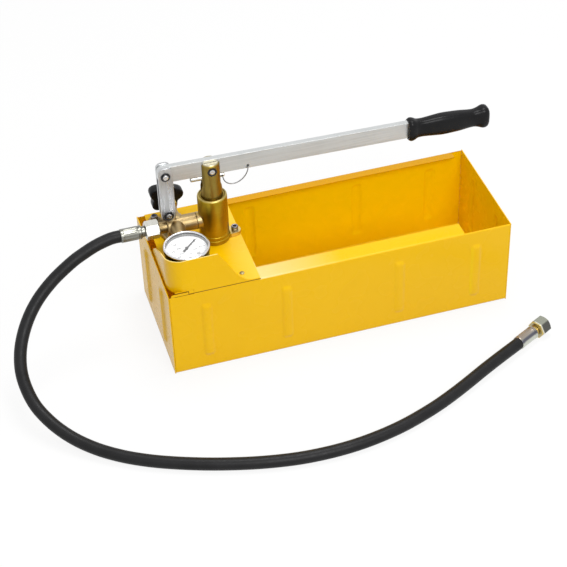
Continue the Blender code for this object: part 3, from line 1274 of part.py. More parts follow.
def gauge():
    """The gauge: case, crimped bezel, lens, dial, the curved pressure tube and the stem."""
    radius = GAUGE_DIAMETER / 2
    top = GAUGE_TOP
    bottom = top - GAUGE_DEPTH
    case = radius - BEZEL_THICKNESS - GAP
    case_top = top - BEZEL_THICKNESS - GAP - LENS_DROP
    edge = CASE_WALL * 2
    center = at(GAUGE_X, GAUGE_Y, 0)
    bm = bmesh.new()
    turned(bm, ((0, bottom), (case - edge, bottom), (case, bottom + edge), (case, case_top),
                (case - CASE_WALL, case_top), (case - CASE_WALL, bottom + edge),
                (case - edge, bottom + CASE_WALL), (0, bottom + CASE_WALL)), center)
    shell = piece("gauge_case", bm, chrome())
    hole = bmesh.new()
    rod(hole, GAUGE_THREAD / 2 + GAP, radius / 2, radius + OVERRUN, at(GAUGE_X, GAUGE_Y, ARM_Z, "+Y"),
        SMALL_SIDES)
    combine(shell, "stem_hole", hole, "DIFFERENCE")
    bezel = bmesh.new()
    skirt = top - BEZEL_HEIGHT
    lip = radius - BEZEL_LIP
    turned(bezel, ((radius - BEZEL_THICKNESS, skirt), (radius, skirt), (radius, top - BEZEL_THICKNESS * 2),
                   (radius - BEZEL_THICKNESS / 2, top - BEZEL_THICKNESS / 2),
                   (radius - BEZEL_THICKNESS * 3 / 2, top), (lip, top - BEZEL_THICKNESS / 2),
                   (lip, top - BEZEL_THICKNESS * 3 / 2),
                   (radius - BEZEL_THICKNESS, top - BEZEL_THICKNESS * 3 / 2)), center, closed=True)
    piece("gauge_bezel", bezel, chrome())
    lens = bmesh.new()
    lens_top = top - BEZEL_THICKNESS * 3 / 2 - GAP
    rod(lens, radius - BEZEL_THICKNESS - GAP, lens_top - LENS_THICKNESS, lens_top, center)
    piece("gauge_lens", lens, clear_lens())
    dial_top = top - DIAL_DROP
    dial = bmesh.new()
    tube(dial, case - CASE_WALL - GAP, NEEDLE_SHAFT / 2 + GAP, dial_top - DIAL_THICKNESS, dial_top, center)
    piece("gauge_dial", dial, dial_white())
    stem = bmesh.new()
    boss_face = GAUGE_FRONT_SETBACK - GAUGE_BOSS_LENGTH
    hex_end = boss_face - GAP
    hex_start = hex_end - STEM_HEX_LENGTH
    thread_end = boss_face + GAUGE_THREAD_DEPTH - GAP * 2
    inner_reach = radius - STEM_INNER_REACH
    along = at(GAUGE_X, GAUGE_Y, ARM_Z, "+Y")
    turned(stem, ((0, inner_reach), (STEM_INNER_DIAMETER / 2, inner_reach), (STEM_INNER_DIAMETER / 2, case),
                  (GAUGE_THREAD / 2, case + SKIN * 2), (GAUGE_THREAD / 2, thread_end), (0, thread_end)),
           along, SMALL_SIDES)
    body = piece("gauge_stem", stem, brass())
    collar = bmesh.new()
    prism(collar, hexagon(STEM_AF), hex_start, hex_end, along)
    combine(body, "spanner_flats", collar, "UNION")
    level = ARM_Z - STEM_INNER_DIAMETER / 4
    arc_points = [(GAUGE_X + x, GAUGE_Y + y, level) for x, y in
                  arc(0, 0, BOURDON_RADIUS, BOURDON_START, BOURDON_START - BOURDON_SWEEP, BOURDON_POINTS)]
    tube_curve("gauge_bourdon_tube", arc_points, BOURDON_TUBE, copper(), 1)
    return dial_top


def gauge_needle(dial_top, needle_pivot):
    """The pointer with its hub above the dial and its shaft through it."""
    bm = bmesh.new()
    low = NEEDLE_RISE
    high = low + NEEDLE_THICKNESS
    width = NEEDLE_SHAFT / 2
    tail = NEEDLE_TAIL_WIDTH / 2
    outline = [(NEEDLE_LENGTH, NEEDLE_THICKNESS / 2), (NEEDLE_HUB / 2, width), (-NEEDLE_TAIL, tail),
               (-NEEDLE_TAIL, -tail), (NEEDLE_HUB / 2, -width), (NEEDLE_LENGTH, -NEEDLE_THICKNESS / 2)]
    prism(bm, outline, low, high, Matrix.Identity(4))
    needle = piece("gauge_needle", bm, black_plastic(), needle_pivot)
    hub = bmesh.new()
    base = low - SKIN
    turned(hub, ((0, -NEEDLE_SHAFT_LENGTH), (width, -NEEDLE_SHAFT_LENGTH), (width, base),
                 (NEEDLE_HUB / 2, base), (NEEDLE_HUB / 2, base + NEEDLE_HUB_HEIGHT),
                 (0, base + NEEDLE_HUB_HEIGHT)),
           Matrix.Identity(4), SMALL_SIDES)
    combine(needle, "hub", hub, "UNION")


def relief_gland():
    """The hexagon nut that closes the relief barrel and guides its spindle."""
    place = at(RELIEF_X, PUMP_Y, RELIEF_Z, "+Y")
    start = RELIEF_BARREL_LENGTH + GAP
    bm = bmesh.new()
    prism(bm, hexagon(RELIEF_GLAND_AF, math.pi / 6), start, start + RELIEF_GLAND_LENGTH, place,
          [round_outline(SPINDLE_DIAMETER / 2 + RUN, SMALL_SIDES)])
    piece("relief_gland", bm, brass())


def relief_valve(spindle_pivot, knob_pivot):
    """The spindle, which closes the port with its cone, and the star knob on its end."""
    radius = SPINDLE_DIAMETER / 2
    seat = RELIEF_SEAT + SPINDLE_TIP
    end = KNOB_FACE - KNOB_HUB_LENGTH + KNOB_SOCKET - GAP
    bm = bmesh.new()
    tip = seat - SPINDLE_TIP
    turned(bm, ((0, tip + GAP), (RELIEF_PORT / 2, tip + GAP * 3), (radius, seat + GAP * 3), (radius, end),
                (0, end)), at(0, 0, 0, "+Y"), SMALL_SIDES)
    piece("relief_spindle", bm, steel(), spindle_pivot)
    sides = KNOB_LOBES * KNOB_LOBE_POINTS

    def star(scale, depth):
        ring = []
        for k in range(sides):
            angle = math.tau * k / sides
            lobe = (1 + math.cos(KNOB_LOBES * (angle - KNOB_FIRST_TIP))) / 2
            reach = KNOB_NOTCH_RADIUS + (KNOB_TIP_RADIUS - KNOB_NOTCH_RADIUS) * lobe ** KNOB_LOBE_ROUNDNESS
            reach -= KNOB_EDGE * (1 - scale)
            ring.append((reach * math.cos(angle), reach * math.sin(angle), depth))
        return ring

    hub = KNOB_FACE - KNOB_HUB_LENGTH
    back = KNOB_FACE + KNOB_THICKNESS
    socket = radius + GAP
    rings = [[(0, 0, hub + KNOB_SOCKET)], circle(socket, hub + KNOB_SOCKET, sides), circle(socket, hub, sides),
             circle(KNOB_HUB_DIAMETER / 2, hub, sides), circle(KNOB_HUB_DIAMETER / 2, KNOB_FACE, sides)]
    edge = [(share, KNOB_EDGE * depth / 3) for share, depth in zip(KNOB_EDGE_SHARES, (0, 1, 3))]
    rings += [star(share, KNOB_FACE + depth) for share, depth in edge]
    rings += [star(share, back - depth) for share, depth in reversed(edge)]
    rings += [circle(KNOB_HUB_DIAMETER / 2, back, sides), [(0, 0, back - KNOB_EDGE / 2)]]
    knob = bmesh.new()
    loft(knob, rings, at(0, 0, 0, "-Y") @ Matrix.Scale(-1, 4, (0, 0, 1)))
    piece("star_knob", knob, black_plastic(), knob_pivot)


def ball_and_spring(name, ball_pivot, turns, length, axis, fixed_at):
    """A valve ball on its seat, with the spring that returns it."""
    ball = bmesh.new()
    bmesh.ops.create_icosphere(ball, subdivisions=2, radius=BALL_DIAMETER / 2)
    piece(f"{name}_ball", ball, steel(), ball_pivot)
    radius = SPRING_DIAMETER / 2
    first = math.sqrt((BALL_DIAMETER / 2 + SPRING_WIRE / 2 + GAP) ** 2 - radius ** 2)
    count = turns * SPRING_TURN_POINTS
    frame = turn_to(axis)
    points = []
    for k in range(count + 1):
        angle = math.tau * k / SPRING_TURN_POINTS
        height = first + (length - first) * k / count
        points.append(frame @ Vector((radius * math.cos(angle), radius * math.sin(angle), height)))
    pitch = (length - first) / turns
    print(f"{name}_spring least gap between its curls: {(pitch - SPRING_WIRE) * 1000:.2f} mm")
    tube_curve(f"{name}_spring", points, SPRING_WIRE, steel(), 1, None, fixed_at)


def seat_distance():
    """How far a ball's centre stands from the edge plane of its port."""
    return math.sqrt((BALL_DIAMETER / 2 + GAP) ** 2 - (VALVE_PORT / 2) ** 2)


def suction_side():
    """The valve body under the deck, its tube and the strainer near the tank's floor."""
    center = at(PUMP_X, PUMP_Y, 0)
    body_top = FOOT_BOTTOM - SPIGOT_LENGTH - GAP
    body_bottom = body_top - SUCTION_BODY_LENGTH
    stub = SUCTION_SOCKET / 2 - GAP
    stub_top = body_top + SUCTION_STUB_LENGTH
    seat = body_bottom + SUCTION_SEAT_HEIGHT
    bm = bmesh.new()
    prism(bm, hexagon(SUCTION_BODY_AF), body_bottom, body_top, center)
    body = piece("suction_valve_body", bm, brass())
    neck = bmesh.new()
    rod(neck, stub, body_top - OVERRUN, stub_top, center, SMALL_SIDES)
    combine(body, "stub", neck, "UNION")
    bore = bmesh.new()
    turned(bore, ((0, body_bottom - OVERRUN), (SUCTION_TUBE_DIAMETER / 2 + GAP, body_bottom - OVERRUN),
                  (SUCTION_TUBE_DIAMETER / 2 + GAP, body_bottom + SUCTION_TUBE_SOCKET),
                  (VALVE_PORT / 2, body_bottom + SUCTION_TUBE_SOCKET), (VALVE_PORT / 2, seat),
                  (VALVE_BORE / 2, seat), (VALVE_BORE / 2, stub_top + OVERRUN), (0, stub_top + OVERRUN)),
           center, SMALL_SIDES)
    combine(body, "bore", bore, "DIFFERENCE")
    strainer_top = STRAINER_CLEAR + STRAINER_HEIGHT
    socket = SUCTION_TUBE_DIAMETER / 2 + GAP
    radius = STRAINER_DIAMETER / 2
    cup = bmesh.new()
    wall = STRAINER_WALL
    turned(cup, ((0, STRAINER_CLEAR), (radius, STRAINER_CLEAR), (radius, strainer_top - wall),
                 (radius - wall, strainer_top), (socket, strainer_top), (socket, strainer_top - STRAINER_RIM),
                 (radius - wall, strainer_top - STRAINER_RIM), (radius - wall, STRAINER_CLEAR + wall),
                 (0, STRAINER_CLEAR + wall)), center, SMALL_SIDES)
    strainer = piece("suction_strainer", cup, black_plastic())
    for k in range(STRAINER_SLOTS // 2):
        slots = bmesh.new()
        turn = Matrix.Rotation(math.pi / 2 * k + math.pi / SMALL_SIDES, 4, "Z")
        box(slots, (-radius - OVERRUN, -STRAINER_SLOT / 2, STRAINER_CLEAR + STRAINER_RIM),
            (radius + OVERRUN, STRAINER_SLOT / 2, strainer_top - STRAINER_RIM - wall), center @ turn)
        combine(strainer, f"slots_{k}", slots, "DIFFERENCE")
    pipe = bmesh.new()
    outer = SUCTION_TUBE_DIAMETER / 2
    tube(pipe, outer, outer - SUCTION_TUBE_WALL, strainer_top - STRAINER_RIM,
         body_bottom + SUCTION_TUBE_SOCKET - GAP, center, SMALL_SIDES)
    piece("suction_tube", pipe, copper())
    drain = bmesh.new()
    outer = RETURN_TUBE_DIAMETER / 2
    tube(drain, outer, outer - RETURN_TUBE_WALL, RETURN_TUBE_END, FOOT_BOTTOM + RETURN_SOCKET_DEPTH - GAP,
         at(COLUMN_X, COLUMN_Y, 0), SMALL_SIDES)
    piece("return_tube", drain, copper())
    ball_z = seat + seat_distance()
    ball_pivot = pivot("suction_ball_pivot", (PUMP_X, PUMP_Y, ball_z))
    spring_top = FOOT_BOTTOM - SPIGOT_LENGTH + SUCTION_SOCKET_DEPTH - GAP - SPRING_WIRE / 2
    ball_and_spring("suction", ball_pivot, SUCTION_SPRING_TURNS, spring_top - ball_z, "+Z",
                    (PUMP_X, PUMP_Y, ball_z))


def discharge_side():
    """The ball and spring in the arm that keep the pressure from coming back."""
    ball_x = PUMP_X - STUB_REACH - seat_distance()
    ball_pivot = pivot("discharge_ball_pivot", (ball_x, PUMP_Y, ARM_Z))
    far = STUB_REACH + GAP + VALVE_LENGTH - GAP - SPRING_WIRE / 2
    length = far - STUB_REACH - seat_distance()
    ball_and_spring("discharge", ball_pivot, DISCHARGE_SPRING_TURNS, length, "-X", (ball_x, PUMP_Y, ARM_Z))


def main():
    clear_scene()
    tank_trough()
    tank_end("tank_left_end", -1, RIM_BOW)
    tank_end("tank_right_end", 1, 0.0)
    console_plate()
    plate_screws()
    pump_cylinder()
    barrel_rings()
    valve_manifold()
    pump_fasteners()
    near_fittings(outlet_nipple())
    hose_and_far_fittings()
    links_pivot = pivot("links_pivot", (LINK_X, PUMP_Y, LINK_BASE_Z))
    lever_pivot = pivot("lever_pivot", (0, 0, LINK_LENGTH), (0, LEVER_TILT, 0), links_pivot)
    piston_pivot = pivot("piston_pivot", (PUMP_X, PUMP_Y, PISTON_PIN_Z))
    pins_with_clips(LINK_BASE_Z, "link_base_pin", "base_pin_clip", None, (LINK_X, PUMP_Y, LINK_BASE_Z))
    pins_with_clips(LINK_TOP_Z, "link_top_pin", "top_pin_clip", links_pivot, (LINK_X, PUMP_Y, LINK_BASE_Z))
    links(links_pivot)
    lever_bar(lever_pivot)
    lever_grip(lever_pivot)
    lock_pin(lever_pivot)
    tether_wire(lever_pivot)
    piston(piston_pivot)
    dial_top = gauge()
    needle_pivot = pivot("needle_pivot", (GAUGE_X, GAUGE_Y, dial_top), (0, 0, NEEDLE_ZERO))
    gauge_needle(dial_top, needle_pivot)
    relief_gland()
    spindle_pivot = pivot("spindle_pivot", (RELIEF_X, PUMP_Y, RELIEF_Z))
    knob_pivot = pivot("knob_pivot", (0, 0, 0), (0, 0, 0), spindle_pivot)
    relief_valve(spindle_pivot, knob_pivot)
    suction_side()
    discharge_side()


main()
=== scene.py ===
"""Looks of the hydrostatic test pump: camera, light, hose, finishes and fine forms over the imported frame.

Sizes are in metres, and in millimetres where a comment says so. Places are the part's own: the origin is the
middle of the tank's underside, the front is -Y and the pump stands at the -X end.
"""

import json
import math

import bmesh
import bpy
from mathutils import Matrix, Vector


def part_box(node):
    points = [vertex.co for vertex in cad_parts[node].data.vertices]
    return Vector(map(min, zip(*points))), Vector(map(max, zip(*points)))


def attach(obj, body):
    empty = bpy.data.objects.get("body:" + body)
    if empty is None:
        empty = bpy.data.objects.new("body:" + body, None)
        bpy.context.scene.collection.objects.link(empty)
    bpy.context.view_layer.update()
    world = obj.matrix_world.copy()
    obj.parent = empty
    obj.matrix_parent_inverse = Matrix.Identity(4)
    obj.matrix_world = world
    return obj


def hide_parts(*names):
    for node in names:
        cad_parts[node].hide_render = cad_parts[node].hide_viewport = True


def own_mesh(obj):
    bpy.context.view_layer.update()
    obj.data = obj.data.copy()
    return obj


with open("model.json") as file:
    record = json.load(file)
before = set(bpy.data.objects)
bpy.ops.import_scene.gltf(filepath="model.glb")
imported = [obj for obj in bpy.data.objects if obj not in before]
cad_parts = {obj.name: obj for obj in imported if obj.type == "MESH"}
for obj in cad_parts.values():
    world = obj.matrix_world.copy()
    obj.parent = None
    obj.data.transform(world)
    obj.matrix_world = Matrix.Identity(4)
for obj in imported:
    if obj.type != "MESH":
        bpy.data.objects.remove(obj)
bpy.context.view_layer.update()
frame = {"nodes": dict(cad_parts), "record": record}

MM = 0.001
SHARP_ANGLE = math.radians(35)
BEND_ANGLE = math.radians(50)
SMOOTH_SIDES = 64
FINE_SIDES = 96
WELD_DISTANCE = 0.000005
FLAT_ANGLE = math.radians(0.6)

# Camera, solved from the tank's corners in the photograph
CAMERA_PLACE = (-0.5584, -1.8053, 1.6287)
CAMERA_AZIMUTH = math.radians(-15.40)
CAMERA_ELEVATION = math.radians(40.34)
CAMERA_ROLL = math.radians(-2.24)
CAMERA_LENS = 107.11
CAMERA_SENSOR = 36.0
CAMERA_REACH = 50.0

# Light
FLOOR_SIZE = 12.0
FLOOR_DROP = 0.0003
FLOOR_SHADOW_SHARE = 0.14
FLOOR_BOUNCE = 0.60
FLOOR_PALE = 0.92
WORLD_LEVEL = 0.50
LAMPS = (  # name, place, aim, size in metres, power in watts
    ("key_lamp", (0.15, -2.25, 2.2), (0, 0, 0.1), 1.6, 47),
    ("top_lamp", (0.3, 0.3, 2.9), (0, 0, 0.1), 1.2, 36))

# Hose
HOSE_DIAMETER = 0.0175
HOSE_STEP = 0.006
HOSE_STRAIGHT = 0.008
HOSE_SAMPLES = 24  # between two points of the route, before they are spaced evenly
HOSE_ROUNDNESS = 10
FAR_FITTING_ANGLE = math.radians(28)
HOSE_ROUTE_MM = (
    (-289.3, 12, 177), (-307, 11.5, 175.8), (-325.4, 8.5, 172.2), (-344, 4, 166.5), (-362, -1, 159.7),
    (-392.5, -12, 144), (-419.6, -27, 125.7), (-441, -47, 105), (-455.5, -71.4, 83), (-460.5, -99.5, 62.3),
    (-454, -132.5, 42.2), (-438, -162, 28.2), (-416, -189.3, 18.4), (-389.5, -214, 12.6), (-360.3, -235.5, 10),
    (-329.4, -253.6, 9), (-297.5, -268.8, 8.8), (-261.4, -283.2, 8.8), (-228.5, -294.2, 8.8),
    (-191.7, -304.3, 8.8), (-154.5, -311.8, 8.8), (-120.4, -315.8, 8.8), (-81.6, -316.6, 8.8),
    (-45.9, -313.8, 8.8), (-9.4, -307.3, 8.8), (23.7, -298.3, 8.8), (61.4, -284.3, 8.8), (91, -271, 9),
    (124.5, -254, 9.8), (158, -236, 11), (190.5, -219.3, 11.9), (223.4, -202.6, 12.3))

# Places in the part, as the CAD has them
PUMP_X, PUMP_Y = -0.1555, 0.012
FOOT_BOTTOM = 0.1421
ARM_Z = 0.1770
LINK_X, LINK_TOP_Z, LINK_BASE_Z = -0.2196, 0.2670, 0.2010
PISTON_PIN_Z = 0.2633
LEVER_TILT = math.radians(1.2)
RELIEF_X, RELIEF_Z = -0.2080, 0.1790
GAUGE_X, GAUGE_Y, GAUGE_TOP = -0.2100, -0.0525, 0.1905
DIAL_TOP = 0.1830
NEEDLE_ZERO = math.radians(45)
FRONT_BOLT = (-0.1262, 0.0114)
BACK_BOLT = (-0.2283, 0.0710)
TAB_LOW, TAB_HIGH = (-0.2462, -0.0959, 0.1402), (-0.2215, -0.0951, 0.1440)
NEAR_FERRULE_X = -0.2589

BODY_OF = {node: body for body, nodes in frame["record"]["behaviour"]["bodies"].items() for node in nodes}
SLOT_OF = {part["node"]: part["material_slot"] for part in frame["record"]["subparts"]}
FINISHES = {}
DONE = set()


def link(obj):
    bpy.context.scene.collection.objects.link(obj)
    return obj


# Camera

def add_camera():
    """The photograph's camera: a long lens, a little above and to the left, rolled slightly."""
    azimuth, elevation, roll = CAMERA_AZIMUTH, CAMERA_ELEVATION, CAMERA_ROLL
    forward = Vector((-math.sin(azimuth) * math.cos(elevation), math.cos(azimuth) * math.cos(elevation),
                      -math.sin(elevation)))
    level = Vector((math.cos(azimuth), math.sin(azimuth), 0))
    above = level.cross(forward)
    right = level * math.cos(roll) + above * math.sin(roll)
    up = above * math.cos(roll) - level * math.sin(roll)
    data = bpy.data.cameras.new("camera")
    data.lens = CAMERA_LENS
    data.sensor_width = CAMERA_SENSOR
    data.clip_end = CAMERA_REACH
    camera = link(bpy.data.objects.new("camera", data))
    turn = Matrix((right, up, -forward)).transposed()
    camera.matrix_world = Matrix.Translation(CAMERA_PLACE) @ turn.to_4x4()
    bpy.context.scene.camera = camera


# Finishes

class Shader:
    """A material's nodes, made and joined with short calls."""

    def __init__(self, name):
        self.material = bpy.data.materials.new(name)
        self.material.use_nodes = True
        self.tree = self.material.node_tree
        self.surface = self.tree.nodes["Principled BSDF"]
        self.output = self.tree.nodes["Material Output"]
        coordinates = self.add("ShaderNodeTexCoord")
        self.place = coordinates.outputs["Object"]
        self.normal = coordinates.outputs["Normal"]

    def add(self, kind, **values):
        node = self.tree.nodes.new(kind)
        for key, value in values.items():
            setattr(node, key, value)
        return node

    def join(self, source, target):
        self.tree.links.new(source, target)

    def set(self, **values):
        for key, value in values.items():
            self.surface.inputs[key.replace("_", " ")].default_value = value

    def mapped(self, scale=(1, 1, 1), turn=0.0, origin=(0, 0, 0)):
        """Places measured from an origin, along axes turned about Z, then scaled."""
        mapping = self.add("ShaderNodeMapping", vector_type="TEXTURE")
        mapping.inputs["Location"].default_value = origin
        mapping.inputs["Scale"].default_value = tuple(1 / s for s in scale)
        mapping.inputs["Rotation"].default_value = (0, 0, turn)
        self.join(self.place, mapping.inputs["Vector"])
        return mapping.outputs["Vector"]

    def noise(self, size, detail=3.0, stretch=None, roughness=0.5):
        """A cloud of values from 0 to 1 whose spots are about that size in metres."""
        node = self.add("ShaderNodeTexNoise")
        node.inputs["Scale"].default_value = 1 / size
        node.inputs["Detail"].default_value = detail
        node.inputs["Roughness"].default_value = roughness
        self.join(self.mapped(stretch) if stretch else self.place, node.inputs["Vector"])
        return node.outputs["Fac"]

    def ranged(self, value, low, high, start=0.3, stop=0.7):
        node = self.add("ShaderNodeMapRange")
        node.inputs["From Min"].default_value = start
        node.inputs["From Max"].default_value = stop
        node.inputs["To Min"].default_value = low
        node.inputs["To Max"].default_value = high
        self.join(value, node.inputs["Value"])
        return node.outputs["Result"]

    def blended(self, share, first, second):
        """A colour between two others, each a colour or a socket."""
        node = self.add("ShaderNodeMix", data_type="RGBA")
        self.join(share, node.inputs["Factor"])
        for socket, value in ((node.inputs[6], first), (node.inputs[7], second)):
            if isinstance(value, tuple):
                socket.default_value = (*value, 1.0)
            else:
                self.join(value, socket)
        return node.outputs[2]

    def within(self, axis, low, high, soft=0.0003):
        """1 where the place along that axis lies between the two, 0 outside."""
        place = self.along(axis)
        rise = self.ranged(place, 0.0, 1.0, low - soft, low + soft)
        fall = self.ranged(place, 1.0, 0.0, high - soft, high + soft)
        return self.product(rise, fall)

    def block(self, x, y, z, soft=0.0003):
        """1 inside the box between those pairs of limits, 0 outside."""
        flat = self.product(self.within("X", *x, soft), self.within("Y", *y, soft))
        return self.product(flat, self.within("Z", *z, soft))

    def filmed(self, mixed, films):
        """A colour with others laid over it inside boxes: limits in x, y and z, colour, soft width."""
        for x, y, z, shade, soft in films:
            mixed = self.blended(self.block(x, y, z, soft), mixed, shade)
        return mixed

    def along(self, axis, source=None):
        split = self.add("ShaderNodeSeparateXYZ")
        self.join(source or self.place, split.inputs["Vector"])
        return split.outputs[axis]

    def facing(self, axis):
        """How far the surface faces along that axis, from -1 to 1."""
        return self.along(axis, self.normal)

    def product(self, first, second, operation="MULTIPLY"):
        node = self.add("ShaderNodeMath", operation=operation)
        self.join(first, node.inputs[0])
        self.join(second, node.inputs[1])
        return node.outputs[0]

    def most(self, first, second):
        return self.product(first, second, "MAXIMUM")

    def color(self, socket):
        self.join(socket, self.surface.inputs["Base Color"])

    def rough(self, socket):
        self.join(socket, self.surface.inputs["Roughness"])

    def bump(self, height, distance, strength=1.0):
        node = self.add("ShaderNodeBump")
        node.inputs["Distance"].default_value = distance
        node.inputs["Strength"].default_value = strength
        self.join(height, node.inputs["Height"])
        previous = self.surface.inputs["Normal"]
        if previous.is_linked:
            self.join(previous.links[0].from_socket, node.inputs["Normal"])
        self.join(node.outputs["Normal"], previous)


# Paint: colours, then the boxes they lie in, as limits in x, y and z
COAT_LIGHT, COAT_DARK = (0.930, 0.545, 0.000), (0.905, 0.515, 0.000)
# Besides the coat's own tone and rubs, the colours below are painted light and shade
COAT_RUBBED, COAT_PAINTED_PALE_END, COAT_INSIDE_PAINTED_LIGHT = (0.95, 0.63, 0.06), (0.915, 0.535, 0.006), (0.945, 0.620, 0.000)
FRONT_PAINTED_SHEEN, DECK_PAINTED_SHEEN, RIM_PAINTED_SHEEN = (0.90, 0.70, 0.30), (0.94, 0.66, 0.09), (0.98, 0.82, 0.32)
BACK_FLANGE_PAINTED_SHADE, FOLD_PAINTED_SHADE = (0.68, 0.33, 0.000), (0.13, 0.030, 0.000)
ANY = (-1.0, 1.0)
FRONT_FLANGE = ((-0.1200, 1.0), (-0.0960, -0.0600), (0.1380, 0.1430))
BACK_FLANGE = ((-0.119, 0.2480), (0.0765, 0.0935), (0.1385, 0.1425))
DECK_END = ((-0.1600, -0.1190), (-0.0945, 0.0930), (0.1405, 0.1430))
TANK_INSIDE = ((-0.1190, 0.2530), (-0.0985, 0.0985), (0.0010, 0.1375))
GUARD_HEIGHTS = (0.1480, 0.2000)
# Limits in x between which a colour comes or goes, and where painted shade sits in the fold under the console plate
PAINTED_PALE_ALONG, FRONT_PAINTED_SHEEN_ALONG, DECK_PAINTED_SHEEN_ALONG = (-0.20, 0.25), (-0.119, 0.0), (-0.155, -0.125)
SEAM_ALONG, SEAM_DEPTHS, SEAM_HEIGHTS = (-0.2490, -0.1190), (-0.0956, -0.0920), (0.1386, 0.1402)
# Painted shade along the corner tab's top and right edges
ABOVE_TAB = ((TAB_LOW[0], TAB_HIGH[0] + 0.0008), SEAM_DEPTHS, (TAB_HIGH[2] - 0.0002, TAB_HIGH[2] + 0.0012))
BESIDE_TAB = ((TAB_HIGH[0] - 0.0002, TAB_HIGH[0] + 0.0010), SEAM_DEPTHS, (SEAM_HEIGHTS[0], TAB_HIGH[2]))
PAINT_GLOSS = 0.20
PATCH_SIZE, RUB_SIZE, SHINE_SIZE = 0.09, 0.012, 0.03
PEEL_SIZE, PEEL_DEPTH, PEEL_STRENGTH = 0.0026, 0.00003, 0.05
DENT_SIZE, DENT_DEPTH, DENT_STRENGTH = 0.06, 0.0007, 0.12


def inside_mask(shader):
    """1 on the tank's inner faces: those that look back to the middle or up, below the flanges."""
    across = shader.ranged(shader.product(shader.along("Y"), shader.facing("Y")), 1.0, 0.0, -0.05, -0.02)
    lengthwise = shader.ranged(shader.product(shader.along("X"), shader.facing("X")), 1.0, 0.0, -0.10, -0.02)
    inward = shader.most(shader.most(across, lengthwise), shader.ranged(shader.facing("Z"), 0.0, 1.0, 0.3, 0.6))
    return shader.product(inward, shader.block(*TANK_INSIDE))


def paint_finish():
    """Powder coat with random tone and rubs, and painted light: paler toward the +X end, lighter inner faces, a
    painted sheen on the front flange, the deck's end and the guard's rim, and painted shade on the back flange, in
    the fold under the console plate and round the corner tab.
    """
    shader = Shader("yellow_paint")
    shader.set(Metallic=0.0, Specular_IOR_Level=PAINT_GLOSS)
    patches = shader.ranged(shader.noise(PATCH_SIZE, 2.0), 0.0, 1.0)
    coat = shader.blended(patches, COAT_LIGHT, COAT_DARK)
    rubs = shader.ranged(shader.noise(RUB_SIZE, 2.0, (1, 1, 0.35)), 0.0, 0.12, 0.60, 0.80)
    coat = shader.blended(rubs, coat, COAT_RUBBED)
    # Painted light: the coat grows paler toward the +X end
    coat = shader.blended(shader.ranged(shader.along("X"), 0.0, 1.0, *PAINTED_PALE_ALONG), coat, COAT_PAINTED_PALE_END)
    # Painted reflection: a cream sheen on the front flange, strongest at its left end
    sheen = shader.product(shader.block(*FRONT_FLANGE),
                           shader.ranged(shader.along("X"), 0.85, 0.0, *FRONT_PAINTED_SHEEN_ALONG))
    coat = shader.blended(sheen, coat, FRONT_PAINTED_SHEEN)
    # Painted highlight: a paler sheen on the deck's end, growing toward +X
    deck = shader.product(shader.block(*DECK_END), shader.ranged(shader.along("X"), 0.0, 0.5, *DECK_PAINTED_SHEEN_ALONG))
    coat = shader.blended(deck, coat, DECK_PAINTED_SHEEN)
    # Painted shade: the back flange is darker
    coat = shader.blended(shader.block(*BACK_FLANGE), coat, BACK_FLANGE_PAINTED_SHADE)
    # Painted light: the tank's inner faces get a lighter, yellower coat
    coat = shader.blended(inside_mask(shader), coat, COAT_INSIDE_PAINTED_LIGHT)
    # Painted highlight: faces looking up on the guard's rim turn pale cream
    facing_up = shader.ranged(shader.facing("Z"), 0.0, 0.7, 0.80, 0.97)
    rim = shader.product(facing_up, shader.within("Z", *GUARD_HEIGHTS))
    coat = shader.blended(rim, coat, RIM_PAINTED_SHEEN)
    # Painted shade: a dark, rough line in the fold under the console plate and along the corner tab
    seam = shader.block(SEAM_ALONG, SEAM_DEPTHS, SEAM_HEIGHTS)
    painted_shade = shader.most(shader.most(seam, shader.block(*ABOVE_TAB)), shader.block(*BESIDE_TAB))
    shader.color(shader.blended(painted_shade, coat, FOLD_PAINTED_SHADE))
    shine = shader.ranged(shader.noise(SHINE_SIZE, 1.0), 0.25, 0.29)
    shader.rough(shader.most(shine, painted_shade))
    shader.bump(shader.noise(PEEL_SIZE, 1.0), PEEL_DEPTH, PEEL_STRENGTH)
    shader.bump(shader.noise(DENT_SIZE, 0.0), DENT_DEPTH, DENT_STRENGTH)
    return shader.material


HANDLED_SIZE, TURNING_SIZE, TURNING_SHINE_SIZE, TURNING_STRENGTH = 0.014, 0.0011, 0.0016, 0.6
PALE_SIZE, GRAIN_DEPTH, GRAIN_STRENGTH = 0.018, 0.00003, 0.5
WORN_SIZE, SMEAR_SIZE, WORN_GAIN = 0.02, 0.006, 1.5
MOULD_DEPTH, MOULD_STRENGTH = 0.00006, 0.5
LENS_ALPHA, LENS_GLOSS, LENS_SMEAR_SIZE = 0.08, 0.5, 0.008


def brass_finish(name, light, dark, roughness, turning, depth=0.00003, worn=()):
    """Machined brass: turning marks along one direction, darker handled patches and a soft sheen."""
    shader = Shader(name)
    shader.set(Metallic=1.0)
    patches = shader.ranged(shader.noise(HANDLED_SIZE, 1.5), 0.0, 0.8)
    marks = shader.noise(TURNING_SIZE, 2.0, turning)
    lines = shader.ranged(marks, 0.0, 1.0, 0.35, 0.65)
    middle = tuple((a + b) / 2 for a, b in zip(light, dark))
    mixed = shader.blended(lines, light, middle)
    mixed = shader.blended(patches, mixed, dark)
    # The boxes passed as worn lay painted highlights and paler parts of the brass over its colour
    shader.color(shader.filmed(mixed, worn))
    shine = shader.noise(TURNING_SHINE_SIZE, 1.0, turning)
    shader.rough(shader.ranged(shine, roughness - 0.03, roughness + 0.05))
    shader.bump(marks, depth, TURNING_STRENGTH)
    return shader.material


